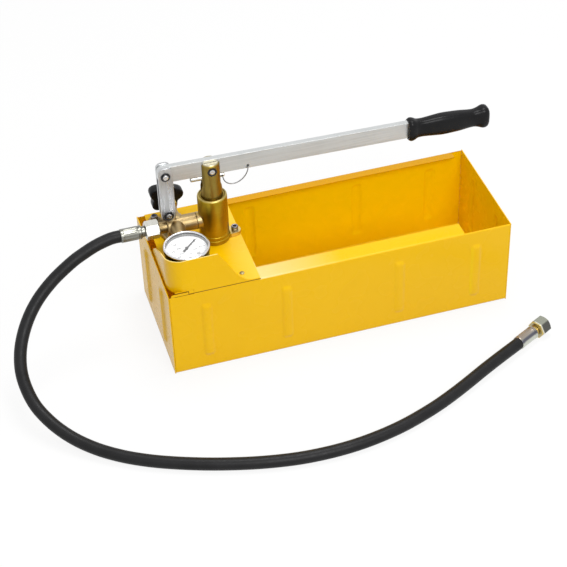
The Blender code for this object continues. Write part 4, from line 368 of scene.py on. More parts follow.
def steel_finish(name, light, dark, roughness, grain, size=0.0022, films=(), turn=0.0, origin=(0, 0, 0)):
    """Plated steel with a grain drawn along one direction and a few paler patches."""
    shader = Shader(name)
    shader.place = shader.mapped(turn=turn, origin=origin)
    shader.set(Metallic=1.0)
    patches = shader.ranged(shader.noise(PALE_SIZE, 3.0), 0.0, 0.7)
    lines = shader.noise(size, 4.0, grain)
    streaks = shader.ranged(lines, 0.0, 1.0, 0.35, 0.65)
    mixed = shader.blended(streaks, light, dark)
    shader.color(shader.filmed(shader.blended(patches, mixed, light), films))
    shader.rough(shader.ranged(lines, roughness - 0.04, roughness + 0.08))
    shader.bump(lines, GRAIN_DEPTH, GRAIN_STRENGTH)
    return shader.material


def plastic_finish(name, color, low, high, grain, level=0.25):
    """Moulded plastic or rubber with a fine grain and slightly greyer worn patches."""
    shader = Shader(name)
    shader.set(Metallic=0.0, Specular_IOR_Level=level)
    patches = shader.ranged(shader.noise(WORN_SIZE, 3.0), 0.0, 1.0)
    shader.color(shader.blended(patches, color, tuple(c * WORN_GAIN for c in color)))
    shader.rough(shader.ranged(shader.noise(SMEAR_SIZE, 3.0), low, high))
    shader.bump(shader.noise(grain, 2.0), MOULD_DEPTH, MOULD_STRENGTH)
    return shader.material


def lens_finish():
    shader = Shader("clear_lens")
    shader.set(Base_Color=(1, 1, 1, 1), Alpha=LENS_ALPHA, Specular_IOR_Level=LENS_GLOSS)
    shader.rough(shader.ranged(shader.noise(LENS_SMEAR_SIZE, 3.0), 0.02, 0.06))
    return shader.material


# Films: limits in x, y and z, colour, soft width
# Painted highlight: the piston's top is paler
PISTON_TOP_PAINTED_HIGHLIGHT = ((ANY, ANY, (0.2731, 1.0), (0.44, 0.40, 0.29), 0.0003),)
# On the barrel: a painted highlight on its top rim, then paler brass on the stub toward the arm and low on the
# right of the barrel
CYLINDER_PAINTED_RIM_AND_PALE_PARTS = ((ANY, ANY, (0.2166, 1.0), (0.46, 0.36, 0.12), 0.0006),
                 ((-1.0, -0.1735), ANY, (0.1650, 0.1890), (0.42, 0.31, 0.16), 0.0015),
                 ((-0.1335, 1.0), ANY, (0.1, 0.1530), (0.74, 0.57, 0.25), 0.0006))
# On the far fitting: painted light and shade, lighter below and darker above with a dark band, darker on the nut's
# lower right, and a painted highlight on the nut's rim; the chromate gold band is the metal's own, and it is greyer
# beyond 36 mm along it
FAR_PAINTED_LIGHT_AND_CHROMATE = ((ANY, (-1.0, -0.0030), (-1.0, 0.0040), (0.56, 0.58, 0.51), 0.0012),
             (ANY, (-1.0, -0.0040), (0.0044, 0.0082), (0.12, 0.12, 0.145), 0.0010),
             (ANY, (-0.0040, 1.0), ANY, (0.34, 0.29, 0.24), 0.0015),
             ((0.0360, 1.0), ANY, ANY, (0.34, 0.35, 0.29), 0.0006),
             ((0.0424, 1.0), (-1.0, -0.0072), ANY, (0.11, 0.11, 0.10), 0.0006),
             ((0.0382, 0.0398), ANY, ANY, (0.60, 0.44, 0.12), 0.0004),
             ((0.0403, 0.0418), (-1.0, 0.0040), ANY, (0.84, 0.80, 0.66), 0.0004))
# Painted shade: the bezel below its rim is near-black
BEZEL_PAINTED_SHADE = ((ANY, ANY, (0.1, 0.1884), (0.02, 0.02, 0.024), 0.0003),)

# Grains: the scale of places along x, y and z, where a small one draws the noise out that way
ALONG_X = (0.03, 1, 1)
ALONG_Z = (1, 1, 0.03)
RINGS_Z = (0.02, 0.02, 1)
RINGS_X = (1, 0.02, 0.02)
RINGS_Y = (0.02, 1, 0.02)
EVEN = (1, 1, 1)


def make_finishes():
    FINISHES["yellow_paint"] = paint_finish()
    FINISHES["clear_lens"] = lens_finish()
    FINISHES.update((row[0], brass_finish(*row)) for row in (  # name, light, dark, roughness, turning, ...
        ("barrel_brass", (0.48, 0.335, 0.030), (0.36, 0.240, 0.012), 0.34, RINGS_Z, 0.00002, CYLINDER_PAINTED_RIM_AND_PALE_PARTS),
        ("piston_brass", (0.34, 0.25, 0.060), (0.27, 0.19, 0.038), 0.33, RINGS_Z, 0.00001, PISTON_TOP_PAINTED_HIGHLIGHT),
        ("pale_brass", (0.44, 0.335, 0.18), (0.30, 0.21, 0.09), 0.42, EVEN, 0.00005),
        ("brass", (0.66, 0.50, 0.16), (0.50, 0.36, 0.08), 0.28, RINGS_X),
        ("gland_brass", (0.66, 0.50, 0.14), (0.50, 0.36, 0.08), 0.28, RINGS_Y),
        ("copper", (0.66, 0.32, 0.18), (0.50, 0.22, 0.11), 0.30, EVEN)))
    FINISHES.update((row[0], steel_finish(*row)) for row in (  # name, light, dark, roughness, grain, ...
        ("zinc_steel", (0.60, 0.60, 0.57), (0.42, 0.42, 0.39), 0.28, EVEN),
        ("bright_zinc", (0.70, 0.69, 0.64), (0.56, 0.55, 0.49), 0.28, RINGS_X),
        ("fitting_zinc", (0.28, 0.28, 0.25), (0.13, 0.13, 0.11), 0.30, ALONG_X, 0.0045),
        ("far_zinc", (0.48, 0.47, 0.42), (0.26, 0.26, 0.23), 0.24, ALONG_X, 0.0040, FAR_PAINTED_LIGHT_AND_CHROMATE, FAR_FITTING_ANGLE,
         tuple(c * MM for c in HOSE_ROUTE_MM[-1])),
        ("chromate", (0.82, 0.62, 0.24), (0.34, 0.23, 0.06), 0.22, EVEN),
        ("screw_zinc", (0.46, 0.385, 0.20), (0.36, 0.29, 0.14), 0.44, EVEN),
        ("lever_steel", (0.62, 0.635, 0.635), (0.53, 0.545, 0.545), 0.34, ALONG_X),
        ("link_steel", (0.57, 0.58, 0.59), (0.43, 0.44, 0.45), 0.28, ALONG_Z, 0.0024),
        ("pin_steel", (0.72, 0.72, 0.72), (0.50, 0.50, 0.50), 0.22, RINGS_Y),
        ("bolt_steel", (0.34, 0.34, 0.37), (0.20, 0.20, 0.22), 0.26, RINGS_Z),
        ("wire_steel", (0.26, 0.26, 0.26), (0.15, 0.15, 0.15), 0.34, EVEN),
        ("bezel_chrome", (0.74, 0.74, 0.76), (0.62, 0.62, 0.64), 0.14, RINGS_Z, 0.0022, BEZEL_PAINTED_SHADE)))
    FINISHES.update((row[0], plastic_finish(*row)) for row in (  # name, colour, roughness from and to, ...
        ("black_plastic", (0.006, 0.006, 0.0065), 0.20, 0.32, 0.0009, 0.16),
        ("black_steel", (0.014, 0.014, 0.016), 0.26, 0.40, 0.002, 0.35),
        ("hose_rubber", (0.010, 0.010, 0.0105), 0.34, 0.48, 0.0007, 0.18),
        ("seal_rubber", (0.02, 0.02, 0.02), 0.6, 0.75, 0.001, 0.3),
        ("dial_white", (0.82, 0.825, 0.83), 0.45, 0.55, 0.004, 0.3),
        ("dial_ink", (0.02, 0.02, 0.022), 0.5, 0.6, 0.002, 0.3)))


# Shapes

def at(x, y, z, axis="+Z"):
    """The place of a shape whose own axis is +Z."""
    turns = {"+Z": Matrix.Identity(4), "+X": Matrix.Rotation(math.pi / 2, 4, "Y"),
             "-X": Matrix.Rotation(-math.pi / 2, 4, "Y"), "+Y": Matrix.Rotation(-math.pi / 2, 4, "X"),
             "-Y": Matrix.Rotation(math.pi / 2, 4, "X")}
    return Matrix.Translation((x, y, z)) @ turns[axis]


def loft(bm, rings, place, closed=False):
    """Join rings of points, one after the other. A ring of one point is a pole, open ends get caps."""
    made = [[bm.verts.new(place @ Vector(point)) for point in ring] for ring in rings]
    pairs = list(zip(made, made[1:]))
    if closed:
        pairs.append((made[-1], made[0]))
    for first, second in pairs:
        count = max(len(first), len(second))
        for i in range(count):
            j = (i + 1) % count
            corners = [first[i % len(first)], first[j % len(first)], second[j % len(second)],
                       second[i % len(second)]]
            face = [v for k, v in enumerate(corners) if v is not corners[k - 1]]
            if len(face) > 2:
                bm.faces.new(face)
    if not closed:
        for ring in (made[0], made[-1]):
            if len(ring) > 2:
                bm.faces.new(ring)


def circle(radius, height, sides):
    if radius == 0:
        return [(0, 0, height)]
    return [(radius * math.cos(math.tau * k / sides), radius * math.sin(math.tau * k / sides), height)
            for k in range(sides)]


def turned(bm, outline, place, sides=SMOOTH_SIDES, closed=False):
    """Turn an outline of (radius, height) points about the place's own Z."""
    loft(bm, [circle(radius, height, sides) for radius, height in outline], place, closed)


def smooth_line(points, step):
    """Points evenly spaced along a smooth curve through the chosen points."""
    points = [Vector(p) for p in points]
    ends = [points[0] * 2 - points[1], *points, points[-1] * 2 - points[-2]]
    fine = [points[0]]
    for k in range(1, len(ends) - 2):
        a, b, c, d = ends[k - 1:k + 3]
        for number in range(1, HOSE_SAMPLES + 1):
            t = number / HOSE_SAMPLES
            fine.append((b * 2 + (c - a) * t + (a * 2 - b * 5 + c * 4 - d) * t * t
                         + (b * 3 - a - c * 3 + d) * t * t * t) / 2)
    lengths = [0.0]
    for a, b in zip(fine, fine[1:]):
        lengths.append(lengths[-1] + (b - a).length)
    count = max(2, round(lengths[-1] / step))
    even = []
    place = 0
    for k in range(count + 1):
        target = lengths[-1] * k / count
        while place < len(lengths) - 2 and lengths[place + 1] < target:
            place += 1
        share = (target - lengths[place]) / (lengths[place + 1] - lengths[place])
        even.append(fine[place].lerp(fine[place + 1], share))
    return even


def dress(obj, finish, body, nodes=()):
    """Give an object its finish, let it ride on its body and stand for its nodes."""
    obj.data.materials.clear()
    obj.data.materials.append(FINISHES[finish])
    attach(obj, body)
    if nodes:
        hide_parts(*nodes)
        DONE.update(nodes)
    return obj


def shaped(name, bm, finish, body, nodes=(), soft_edge=0.0, sharp=SHARP_ANGLE):
    """Turn a bmesh into a dressed piece."""
    bmesh.ops.recalc_face_normals(bm, faces=bm.faces)
    mesh = bpy.data.meshes.new(name)
    bm.to_mesh(mesh)
    bm.free()
    mesh.shade_smooth()
    mesh.set_sharp_from_angle(angle=sharp)
    obj = link(bpy.data.objects.new(name, mesh))
    if soft_edge:
        soften(obj, soft_edge, sharp)
    return dress(obj, finish, body, nodes)


def soften(obj, width, angle):
    """Round the sharp edges a little, as tumbling or paint does."""
    bevel = obj.modifiers.new("soft_edge", "BEVEL")
    bevel.width = width
    bevel.segments = 2
    bevel.limit_method = "ANGLE"
    bevel.angle_limit = angle
    weigh = obj.modifiers.new("flat_faces", "WEIGHTED_NORMAL")
    weigh.keep_sharp = True


def clean_solid(node):
    """The node's own solid with its split corners joined and its flats merged."""
    bm = bmesh.new()
    bm.from_mesh(frame["nodes"][node].data)
    bmesh.ops.remove_doubles(bm, verts=bm.verts, dist=WELD_DISTANCE)
    bmesh.ops.dissolve_limit(bm, angle_limit=FLAT_ANGLE, verts=bm.verts, edges=bm.edges)
    bm.verts.index_update()
    clean = bpy.data.meshes.new(node)
    clean.from_pydata([v.co.copy() for v in bm.verts], [], [[v.index for v in f.verts] for f in bm.faces])
    bm.free()
    fresh = bmesh.new()
    fresh.from_mesh(clean)
    bpy.data.meshes.remove(clean)
    return fresh


def refined(node, finish, soft_edge, sharp=SHARP_ANGLE):
    """The node's own solid with smooth rounds and soft edges."""
    return shaped(f"{node}_fine", clean_solid(node), finish, BODY_OF[node], (node,), soft_edge=soft_edge,
                  sharp=sharp)


def rounded(node, finish, levels=2):
    """A wire, spring or ball, smoothed round from its coarse solid."""
    obj = shaped(f"{node}_fine", clean_solid(node), finish, BODY_OF[node], (node,), sharp=math.pi)
    smooth = obj.modifiers.new("round", "SUBSURF")
    smooth.levels = smooth.render_levels = levels
    return obj


SPRING_WAYS = {"suction_spring": ("suction_lift", 2, 1), "discharge_spring": ("discharge_lift", 0, -1)}


def press(node, spring):
    """A valve spring gets its own mesh; the way it would shorten toward its fixed end as its ball lifts is worked
    out, but nothing moves it.
    """
    joint, axis, way = SPRING_WAYS[node]
    low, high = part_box(node)
    direction, anchor = [0, 0, 0], [(a + b) / 2 for a, b in zip(low, high)]
    direction[axis] = way
    anchor[axis] = high[axis] if way > 0 else low[axis]
    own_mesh(spring)


WAIST_START, WAIST_RUN, WAIST_SHARE = 0.0235, 0.0060, 0.30  # where the relief barrel narrows, and by how much
WAIST_INSIDE, WAIST_BOTTOM = 0.0080, 0.1600
LONG_EDGE, LONG_EDGE_CUTS = 10 * MM, 8
CASTING_CELL, CASTING_PASSES, CASTING_SMOOTH = 0.0006, 5, 0.5


def cast(node, finish):
    """A casting: its solid with soft hollows where its shapes meet."""
    bm = clean_solid(node)
    long_edges = [edge for edge in bm.edges if abs(edge.verts[0].co.y - edge.verts[1].co.y) > LONG_EDGE]
    bmesh.ops.subdivide_edges(bm, edges=long_edges, cuts=LONG_EDGE_CUTS)
    for vertex in bm.verts:
        off_axis = Vector((vertex.co.x - RELIEF_X, 0, vertex.co.z - RELIEF_Z))
        if off_axis.length > WAIST_INSIDE and vertex.co.z > WAIST_BOTTOM:
            share = min(max((vertex.co.y - WAIST_START) / WAIST_RUN, 0), 1)
            vertex.co -= off_axis * WAIST_SHARE * share
    obj = shaped(f"{node}_fine", bm, finish, BODY_OF[node], (node,), sharp=math.pi)
    grid = obj.modifiers.new("grid", "REMESH")
    grid.mode = "VOXEL"
    grid.voxel_size = CASTING_CELL
    grid.use_smooth_shade = True
    flow = obj.modifiers.new("hollows", "SMOOTH")
    flow.factor = CASTING_SMOOTH
    flow.iterations = CASTING_PASSES
    return obj


def ring(reach, height, sides):
    """A ring whose radius follows its angle."""
    points = []
    for k in range(sides):
        angle = math.tau * k / sides
        points.append((reach(angle) * math.cos(angle), reach(angle) * math.sin(angle), height))
    return points


def hexagon_reach(across_flats):
    def reach(angle):
        within = (angle + math.pi / 6) % (math.pi / 3) - math.pi / 6
        return across_flats / 2 / math.cos(within)
    return reach


# Fasteners

BOLT_SEAT = FOOT_BOTTOM + 6.3 * MM
BOLT_RADIUS, BOLT_LENGTH, BOLT_POINT = 3.0 * MM, 18.0 * MM, 2.4 * MM
THREAD_TURNS, THREAD_PITCH, THREAD_DEPTH, THREAD_START, THREAD_TOP = 10, 1.0 * MM, 0.5 * MM, 0.4 * MM, 7 * MM
BOLT_HEAD, BOLT_HEAD_HEIGHT = 5.0 * MM, 6.0 * MM
BOLT_HEAD_BOTTOM = 4.7 * MM
BOLT_HEAD_TOP = ((4.85, 0.9), (4.4, 0.0), (3.4, 0.0))  # radius and depth below the top, mm
KNURL_RIDGES, KNURL_DEPTH, KNURL_START, KNURL_TOP = 32, 0.12 * MM, 0.4 * MM, 1.2 * MM
SOCKET_ACROSS, SOCKET_LEAD, SOCKET_DEPTH, SOCKET_POINT = 5 * MM, 0.3 * MM, 3 * MM, 3.6 * MM


def knurl(angle):
    return BOLT_HEAD - KNURL_DEPTH * (1 - math.cos(KNURL_RIDGES * angle))


def bolts():
    """Socket head bolts with a knurled head, a hexagon socket and thread ridges."""
    sides = FINE_SIDES
    top = BOLT_HEAD_HEIGHT
    rings = [circle(0, -BOLT_LENGTH, sides), circle(BOLT_POINT, -BOLT_LENGTH, sides)]
    for k in range(THREAD_TURNS):
        start = -BOLT_LENGTH + THREAD_START + k * THREAD_PITCH
        rings += [circle(BOLT_RADIUS, start, sides),
                  circle(BOLT_RADIUS - THREAD_DEPTH, start + THREAD_PITCH / 2, sides)]
    rings += [circle(BOLT_RADIUS, -THREAD_TOP, sides), circle(BOLT_RADIUS, 0, sides),
              circle(BOLT_HEAD_BOTTOM, 0, sides), ring(knurl, KNURL_START, sides),
              ring(knurl, top - KNURL_TOP, sides)]
    rings += [circle(radius * MM, top - depth * MM, sides) for radius, depth in BOLT_HEAD_TOP]
    rings += [ring(hexagon_reach(SOCKET_ACROSS), top - SOCKET_LEAD, sides),
              ring(hexagon_reach(SOCKET_ACROSS), top - SOCKET_DEPTH, sides), circle(0, top - SOCKET_POINT, sides)]
    for label, place in (("front", FRONT_BOLT), ("back", BACK_BOLT)):
        bm = bmesh.new()
        loft(bm, rings, at(*place, BOLT_SEAT))
        shaped(f"{label}_bolt_fine", bm, "bolt_steel", "tank_and_pump", (f"{label}_bolt",))


SCREW_COUNT = 3
SCREW_RADIUS, SCREW_POINT, SCREW_TAPER = 2.0 * MM, 1.6 * MM, 0.6 * MM
SCREW_HEAD_HEIGHT = 1.6 * MM
SCREW_HEAD = ((0.0, 0.0), (0.0, 0.5), (0.5, 1.1), (1.2, 1.5))  # distance in from the rim and height, mm
CROSS_ARM, CROSS_HALF, CROSS_BOTTOM, CROSS_POINT = 1.9 * MM, 0.45 * MM, 0.7 * MM, 0.4 * MM


def cross(angle):
    """The reach of a cross recess: to the end of the nearest arm, or to that arm's side."""
    off_arm = (angle + math.pi / 4) % (math.pi / 2) - math.pi / 4
    return min(CROSS_ARM / max(math.cos(off_arm), 0.1), CROSS_HALF / max(abs(math.sin(off_arm)), 0.05))


def screws():
    """Pan head screws with a cross recess."""
    sides = FINE_SIDES
    for number in range(1, SCREW_COUNT + 1):
        node = f"plate_screw_{number}"
        low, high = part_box(node)
        seat = high[2] - SCREW_HEAD_HEIGHT
        head = (high[0] - low[0]) / 2
        rings = [circle(0, low[2], sides), circle(SCREW_POINT, low[2], sides),
                 circle(SCREW_RADIUS, low[2] + SCREW_TAPER, sides), circle(SCREW_RADIUS, seat, sides)]
        rings += [circle(head - inset * MM, seat + height * MM, sides) for inset, height in SCREW_HEAD]
        rings += [ring(cross, seat + SCREW_HEAD_HEIGHT, sides), ring(cross, seat + CROSS_BOTTOM, sides),
                  circle(0, seat + CROSS_POINT, sides)]
        bm = bmesh.new()
        loft(bm, rings, at((low[0] + high[0]) / 2, (low[1] + high[1]) / 2, 0))
        shaped(f"{node}_fine", bm, "screw_zinc", "tank_and_pump", (node,))


PIN_END = ((0, 0.5), (1.1, 0.1), (1.5, 0), (3.1, 0), (3.7, 0.25), (4.0, 0.8))  # radius, depth below the end, mm
# A clip's outline is radius and height over where it starts, mm
CLIP_OUTLINE = ((4.3, 0.55), (5.0, 1.0), (5.1, 0.75), (5.8, 1.0), (6.5, 0.9), (6.7, 0.5), (6.5, 0), (4.3, 0))
PINS = (  # pin, clip, x, z, half the pin's length, where its clips start
    ("link_base_pin", "base_pin_clip", LINK_X, LINK_BASE_Z, 10.5 * MM, 8.7 * MM),
    ("link_top_pin", "top_pin_clip", LINK_X, LINK_TOP_Z, 10.5 * MM, 8.7 * MM),
    ("piston_pin", "piston_pin_clip", PUMP_X, PISTON_PIN_Z, 13.7 * MM, 12.4 * MM))


def pins():
    """The three pivot pins with their dimpled ends, and the dished clips on them."""
    for pin, clip, x, z, half, clip_start in PINS:
        end = [(radius * MM, half - depth * MM) for radius, depth in PIN_END]
        bm = bmesh.new()
        turned(bm, end + [(r, -h) for r, h in reversed(end)], at(x, PUMP_Y, z, "+Y"))
        shaped(f"{pin}_fine", bm, "pin_steel", BODY_OF[pin], (pin,))
        for label, axis in (("near", "-Y"), ("far", "+Y")):
            node = f"{clip}_{label}"
            bm = bmesh.new()
            outline = [(radius * MM, clip_start + rise * MM) for radius, rise in CLIP_OUTLINE]
            turned(bm, outline, at(x, PUMP_Y, z, axis), closed=True)
            shaped(f"{node}_fine", bm, "black_steel", BODY_OF[node], (node,))


TAB_BEVELS = (0.0022, 0.0012)  # of its left and right upper corner


def corner_tab():
    """The small tab of the front wall that laps the console plate at its corner."""
    low, high = TAB_LOW, TAB_HIGH
    bm = bmesh.new()
    left, right = TAB_BEVELS
    outline = [(low[0], low[2]), (high[0], low[2]), (high[0], high[2] - right), (high[0] - right, high[2]),
               (low[0] + left, high[2]), (low[0], high[2] - left)]
    loft(bm, [[(x, y, z) for x, z in outline] for y in (low[1], high[1])], Matrix.Identity(4))
    shaped("front_corner_tab", bm, "yellow_paint", "tank_and_pump", soft_edge=0.0002)


# Hose fittings

def far_place(along, axis="+X"):
    """A place on the far fitting, measured from the hose's end."""
    end = Vector(HOSE_ROUTE_MM[-1]) * MM
    return Matrix.Translation(end) @ Matrix.Rotation(FAR_FITTING_ANGLE, 4, "Z") @ at(along, 0, 0, axis)


FERRULE_RADIUS, FERRULE_BORE = 9.75 * MM, 5.4 * MM
# A collar's outline is distance in from the radius, then place from that end, mm
FERRULE_START = ((1.0, 0), (0.25, 0.5), (0, 1.2), (0, 3.4), (0.7, 3.9), (0.7, 4.6), (0.1, 5.2))
FERRULE_END = ((0, 3.2), (0, 0.8), (0.2, 0.25), (0.6, 0))
CRIMP_FLATS, CRIMP_SHALLOW, CRIMP_DEEP = 8, 0.3 * MM, 0.55 * MM
CRIMP_START, CRIMP_FULL, CRIMP_FULL_END, CRIMP_END = 6.5 * MM, 8 * MM, 6 * MM, 4.5 * MM
FERRULES = (  # node, length, place, finish
    ("near_ferrule", 30 * MM, at(NEAR_FERRULE_X, PUMP_Y, ARM_Z, "-X"), "fitting_zinc"),
    ("far_ferrule", 33 * MM, far_place(33.3 * MM, "-X"), "far_zinc"))


def pressed(depth):
    """The radius of a sleeve with flats pressed in to that depth and narrow ridges between them."""
    def reach(angle):
        share = abs((angle * CRIMP_FLATS / math.tau) % 1 - 0.5) * 2
        return FERRULE_RADIUS - depth * (1 - share ** 5)
    return reach


def ferrules():
    """Crimped sleeves: eight pressed flats with ridges between them, and a plain collar at each end."""
    sides = FINE_SIDES
    for node, length, place, finish in FERRULES:
        rings = [circle(FERRULE_BORE, 0, sides)]
        rings += [circle(FERRULE_RADIUS - inset * MM, where * MM, sides) for inset, where in FERRULE_START]
        rings += [ring(pressed(CRIMP_SHALLOW), CRIMP_START, sides), ring(pressed(CRIMP_DEEP), CRIMP_FULL, sides),
                  ring(pressed(CRIMP_DEEP), length - CRIMP_FULL_END, sides),
                  ring(pressed(CRIMP_SHALLOW), length - CRIMP_END, sides)]
        rings += [circle(FERRULE_RADIUS - inset * MM, length - before * MM, sides) for inset, before in FERRULE_END]
        rings.append(circle(FERRULE_BORE, length, sides))
        bm = bmesh.new()
        loft(bm, rings, place, closed=True)
        shaped(f"{node}_fine", bm, finish, BODY_OF[node], (node,))


# Lever

def lever_place():
    return Matrix.Translation((LINK_X, PUMP_Y, LINK_TOP_Z)) @ Matrix.Rotation(LEVER_TILT, 4, "Y")


def smooth_share(pairs, where):
    """A value between the chosen pairs, smooth through them."""
    keys = [p[0] for p in pairs]
    k = min(max(sum(key <= where for key in keys) - 1, 0), len(pairs) - 2)
    (x0, y0), (x1, y1) = pairs[k], pairs[k + 1]
    before, after = pairs[max(k - 1, 0)], pairs[min(k + 2, len(pairs) - 1)]
    first = (y1 - before[1]) / (x1 - before[0])
    second = (after[1] - y0) / (after[0] - x0)
    t = (where - x0) / (x1 - x0)
    run = x1 - x0
    return (y0 * (1 + 2 * t) * (1 - t) ** 2 + first * run * t * (1 - t) ** 2
            + y1 * t * t * (3 - 2 * t) - second * run * t * t * (1 - t))


GRIP_SHARES = (
    (0.0, 0.86), (0.02, 0.97), (0.045, 1.0), (0.08, 0.93), (0.11, 0.82), (0.15, 0.785), (0.20, 0.79),
    (0.30, 0.853), (0.42, 0.92), (0.55, 0.90), (0.66, 0.853), (0.76, 0.776), (0.82, 0.762), (0.87, 0.833),
    (0.925, 0.975), (0.95, 0.99), (0.975, 0.95), (0.99, 0.88), (1.0, 0.78))


GRIP_START, GRIP_LENGTH, GRIP_HEIGHT, GRIP_DROP = 350.3 * MM, 120 * MM, 34 * MM, 1.0 * MM
GRIP_THICKNESS = 0.68  # of its height
GRIP_ROUNDNESS = 2 / 3.0  # 1 is an ellipse, less is squarer
GRIP_STEPS = 72
GRIP_MOUTH = ((0.012, 0.70), (0.001, 0.78))  # share of the length, share of the height
GRIP_TIP = ((1.0, 0.60), (1.0, 0.2))


def grip_section(along, tall):
    half = tall * GRIP_HEIGHT / 2
    points = []
    for k in range(FINE_SIDES):
        angle = math.tau * k / FINE_SIDES
        cos, sin = math.cos(angle), math.sin(angle)
        points.append((GRIP_START + along * GRIP_LENGTH,
                       math.copysign(abs(cos) ** GRIP_ROUNDNESS, cos) * GRIP_THICKNESS * half,
                       math.copysign(abs(sin) ** GRIP_ROUNDNESS, sin) * half - GRIP_DROP))
    return points


def grip():
    """The moulded grip, smooth along its waists, with a dished mouth round the bar and a domed tip."""
    shares = [k / GRIP_STEPS for k in range(GRIP_STEPS + 1)]
    middle = [(share, smooth_share(GRIP_SHARES, share)) for share in shares]
    bm = bmesh.new()
    loft(bm, [grip_section(along, tall) for along, tall in (*GRIP_MOUTH, *middle, *GRIP_TIP)], lever_place())
    shaped("lever_grip_fine", bm, "black_plastic", "lever", ("lever_grip",), sharp=math.radians(60))


KNOB_TIP, KNOB_NOTCH, KNOB_TURN, KNOB_LOBES = 25.5 * MM, 19.0 * MM, math.radians(150), 5
KNOB_LOBE_POWER = 0.8  # below 1 the lobes are broad and the notches narrow
KNOB_SIDES = 120
KNOB_FACE, KNOB_BACK, KNOB_HUB = 61 * MM, 76 * MM, 54 * MM
KNOB_RIM = ((2.5, 0.0), (1.2, 0.35), (0.4, 1.1), (0.0, 2.4))  # distance in from the rim, and in from the face, mm
KNOB_HUB_OUTLINE = ((0, 10), (5.3, 10), (5.3, 0), (9.9, 0), (10.5, 0.6), (10.5, 7))  # radius and height, mm
KNOB_CAP = ((12, 0), (11.4, 0.7), (10.4, 0.7), (9.8, 0.1), (6, 0), (0, 0))  # radius and depth below the back, mm


def star(inset):
    def reach(angle):
        lobe = (1 + math.cos(KNOB_LOBES * (angle - KNOB_TURN))) / 2
        return KNOB_NOTCH + (KNOB_TIP - KNOB_NOTCH) * lobe ** KNOB_LOBE_POWER - inset
    return reach


def knob():
    """The five-lobed star knob with rounded rims, a hub in front and a dished cap behind."""
    sides = KNOB_SIDES
    rings = [circle(radius * MM, KNOB_HUB + height * MM, sides) for radius, height in KNOB_HUB_OUTLINE]
    rings += [ring(star(inset * MM), KNOB_FACE + depth * MM, sides) for inset, depth in KNOB_RIM]
    rings += [ring(star(inset * MM), KNOB_BACK - depth * MM, sides) for inset, depth in reversed(KNOB_RIM)]
    rings += [circle(radius * MM, KNOB_BACK - depth * MM, sides) for radius, depth in KNOB_CAP]
    place = at(RELIEF_X, PUMP_Y, RELIEF_Z, "-Y") @ Matrix.Scale(-1, 4, (0, 0, 1))
    bm = bmesh.new()
    loft(bm, rings, place)
    shaped("star_knob_fine", bm, "black_plastic", "knob", ("star_knob",), sharp=math.radians(50))


# Gauge

# Outlines below are radius and depth under the base, mm
BEZEL_OUTLINE = (
    (30.8, 7.2), (31.6, 7.2), (31.95, 6.9), (32.0, 6.2), (31.75, 5.9), (31.75, 5.5), (32.0, 5.2), (32.0, 2.2),
    (31.85, 1.4), (31.4, 0.7), (30.7, 0.2), (30.0, 0.0), (29.4, 0.15), (28.95, 0.5), (28.8, 1.0), (28.8, 1.8),
    (30.8, 1.8))
LENS_OUTLINE = ((0, 1.5), (30.3, 1.5), (30.5, 1.2), (30.5, 0.2), (30.3, 0), (0, 0))
DIAL_OUTLINE = ((1.3, 0.6), (28.9, 0.6), (29.0, 0.5), (29.0, 0.1), (28.9, 0), (1.3, 0))
HUB_OUTLINE = ((0, 6), (1.0, 6), (1.0, -1.2), (2.3, -1.2), (2.3, -2.2), (1.9, -2.6), (1.0, -2.9), (0, -2.9))
HUB_SIDES = 32
# The needle's own outline is place along it and half its width, mm
NEEDLE_OUTLINE = ((23.0, 0.2), (20.0, 1.4), (17.5, 0.8), (2.0, 1.0), (-3.0, 0.8), (-4.5, 1.6), (-8.0, 1.7))
NEEDLE_HEIGHTS = (1.25 * MM, 1.65 * MM)
LENS_TOP = GAUGE_TOP - 2.1 * MM
SHADE_RING_RADII, SHADE_RING_BOTTOM, SHADE_RING_TOP = (28.4 * MM, 28.95 * MM), DIAL_TOP + 0.1 * MM, LENS_TOP - 1.6 * MM
DIAL_SWEEP, DIAL_STEPS = math.radians(270), 60
TICK_EVERY, NUMBER_EVERY = 2, 10
TICK_END, TICK_HEIGHT = 26.4 * MM, 0.08 * MM
LONG_TICK, SHORT_TICK = (23.0 * MM, 0.55 * MM), (24.6 * MM, 0.28 * MM)  # start and width
NUMBER_RADIUS, NUMBER_SIZE = 19 * MM, 4.6 * MM
INNER_SCALE_LAST, INNER_SCALE_EVERY, INNER_SCALE_END = 800, 200, 870
INNER_RADIUS, INNER_SIZE = 11.5 * MM, 3.8 * MM
MARK_LIFT, NUMBER_LIFT, NUMBER_HEIGHT = 0.02 * MM, 0.06 * MM, 0.00004


def text_faces(bm, text, size, place):
    """Add a short number as a thin solid."""
    data = bpy.data.curves.new("number", "FONT")
    data.body = text
    data.size = size
    data.align_x = "CENTER"
    data.align_y = "CENTER"
    data.extrude = NUMBER_HEIGHT
    data.resolution_u = 3
    obj = link(bpy.data.objects.new("number", data))
    bpy.context.view_layer.update()
    mesh = bpy.data.meshes.new_from_object(obj.evaluated_get(bpy.context.evaluated_depsgraph_get()))
    mesh.transform(place)
    bm.from_mesh(mesh)
    bpy.data.meshes.remove(mesh)
    bpy.data.objects.remove(obj)
    bpy.data.curves.remove(data)


def flat_bar(bm, place, length, width, height):
    """A thin flat bar from the place outward along its X."""
    corners = [(0, -width / 2), (length, -width / 2), (length, width / 2), (0, width / 2)]
    rings = [[(x, y, z) for x, y in corners] for z in (0, height)]
    loft(bm, rings, place)


def gauge_lathed(outline, base, sides=FINE_SIDES, closed=False):
    """A shape turned about the gauge's axis."""
    bm = bmesh.new()
    turned(bm, [(radius * MM, base - depth * MM) for radius, depth in outline], at(GAUGE_X, GAUGE_Y, 0), sides,
           closed)
    return bm


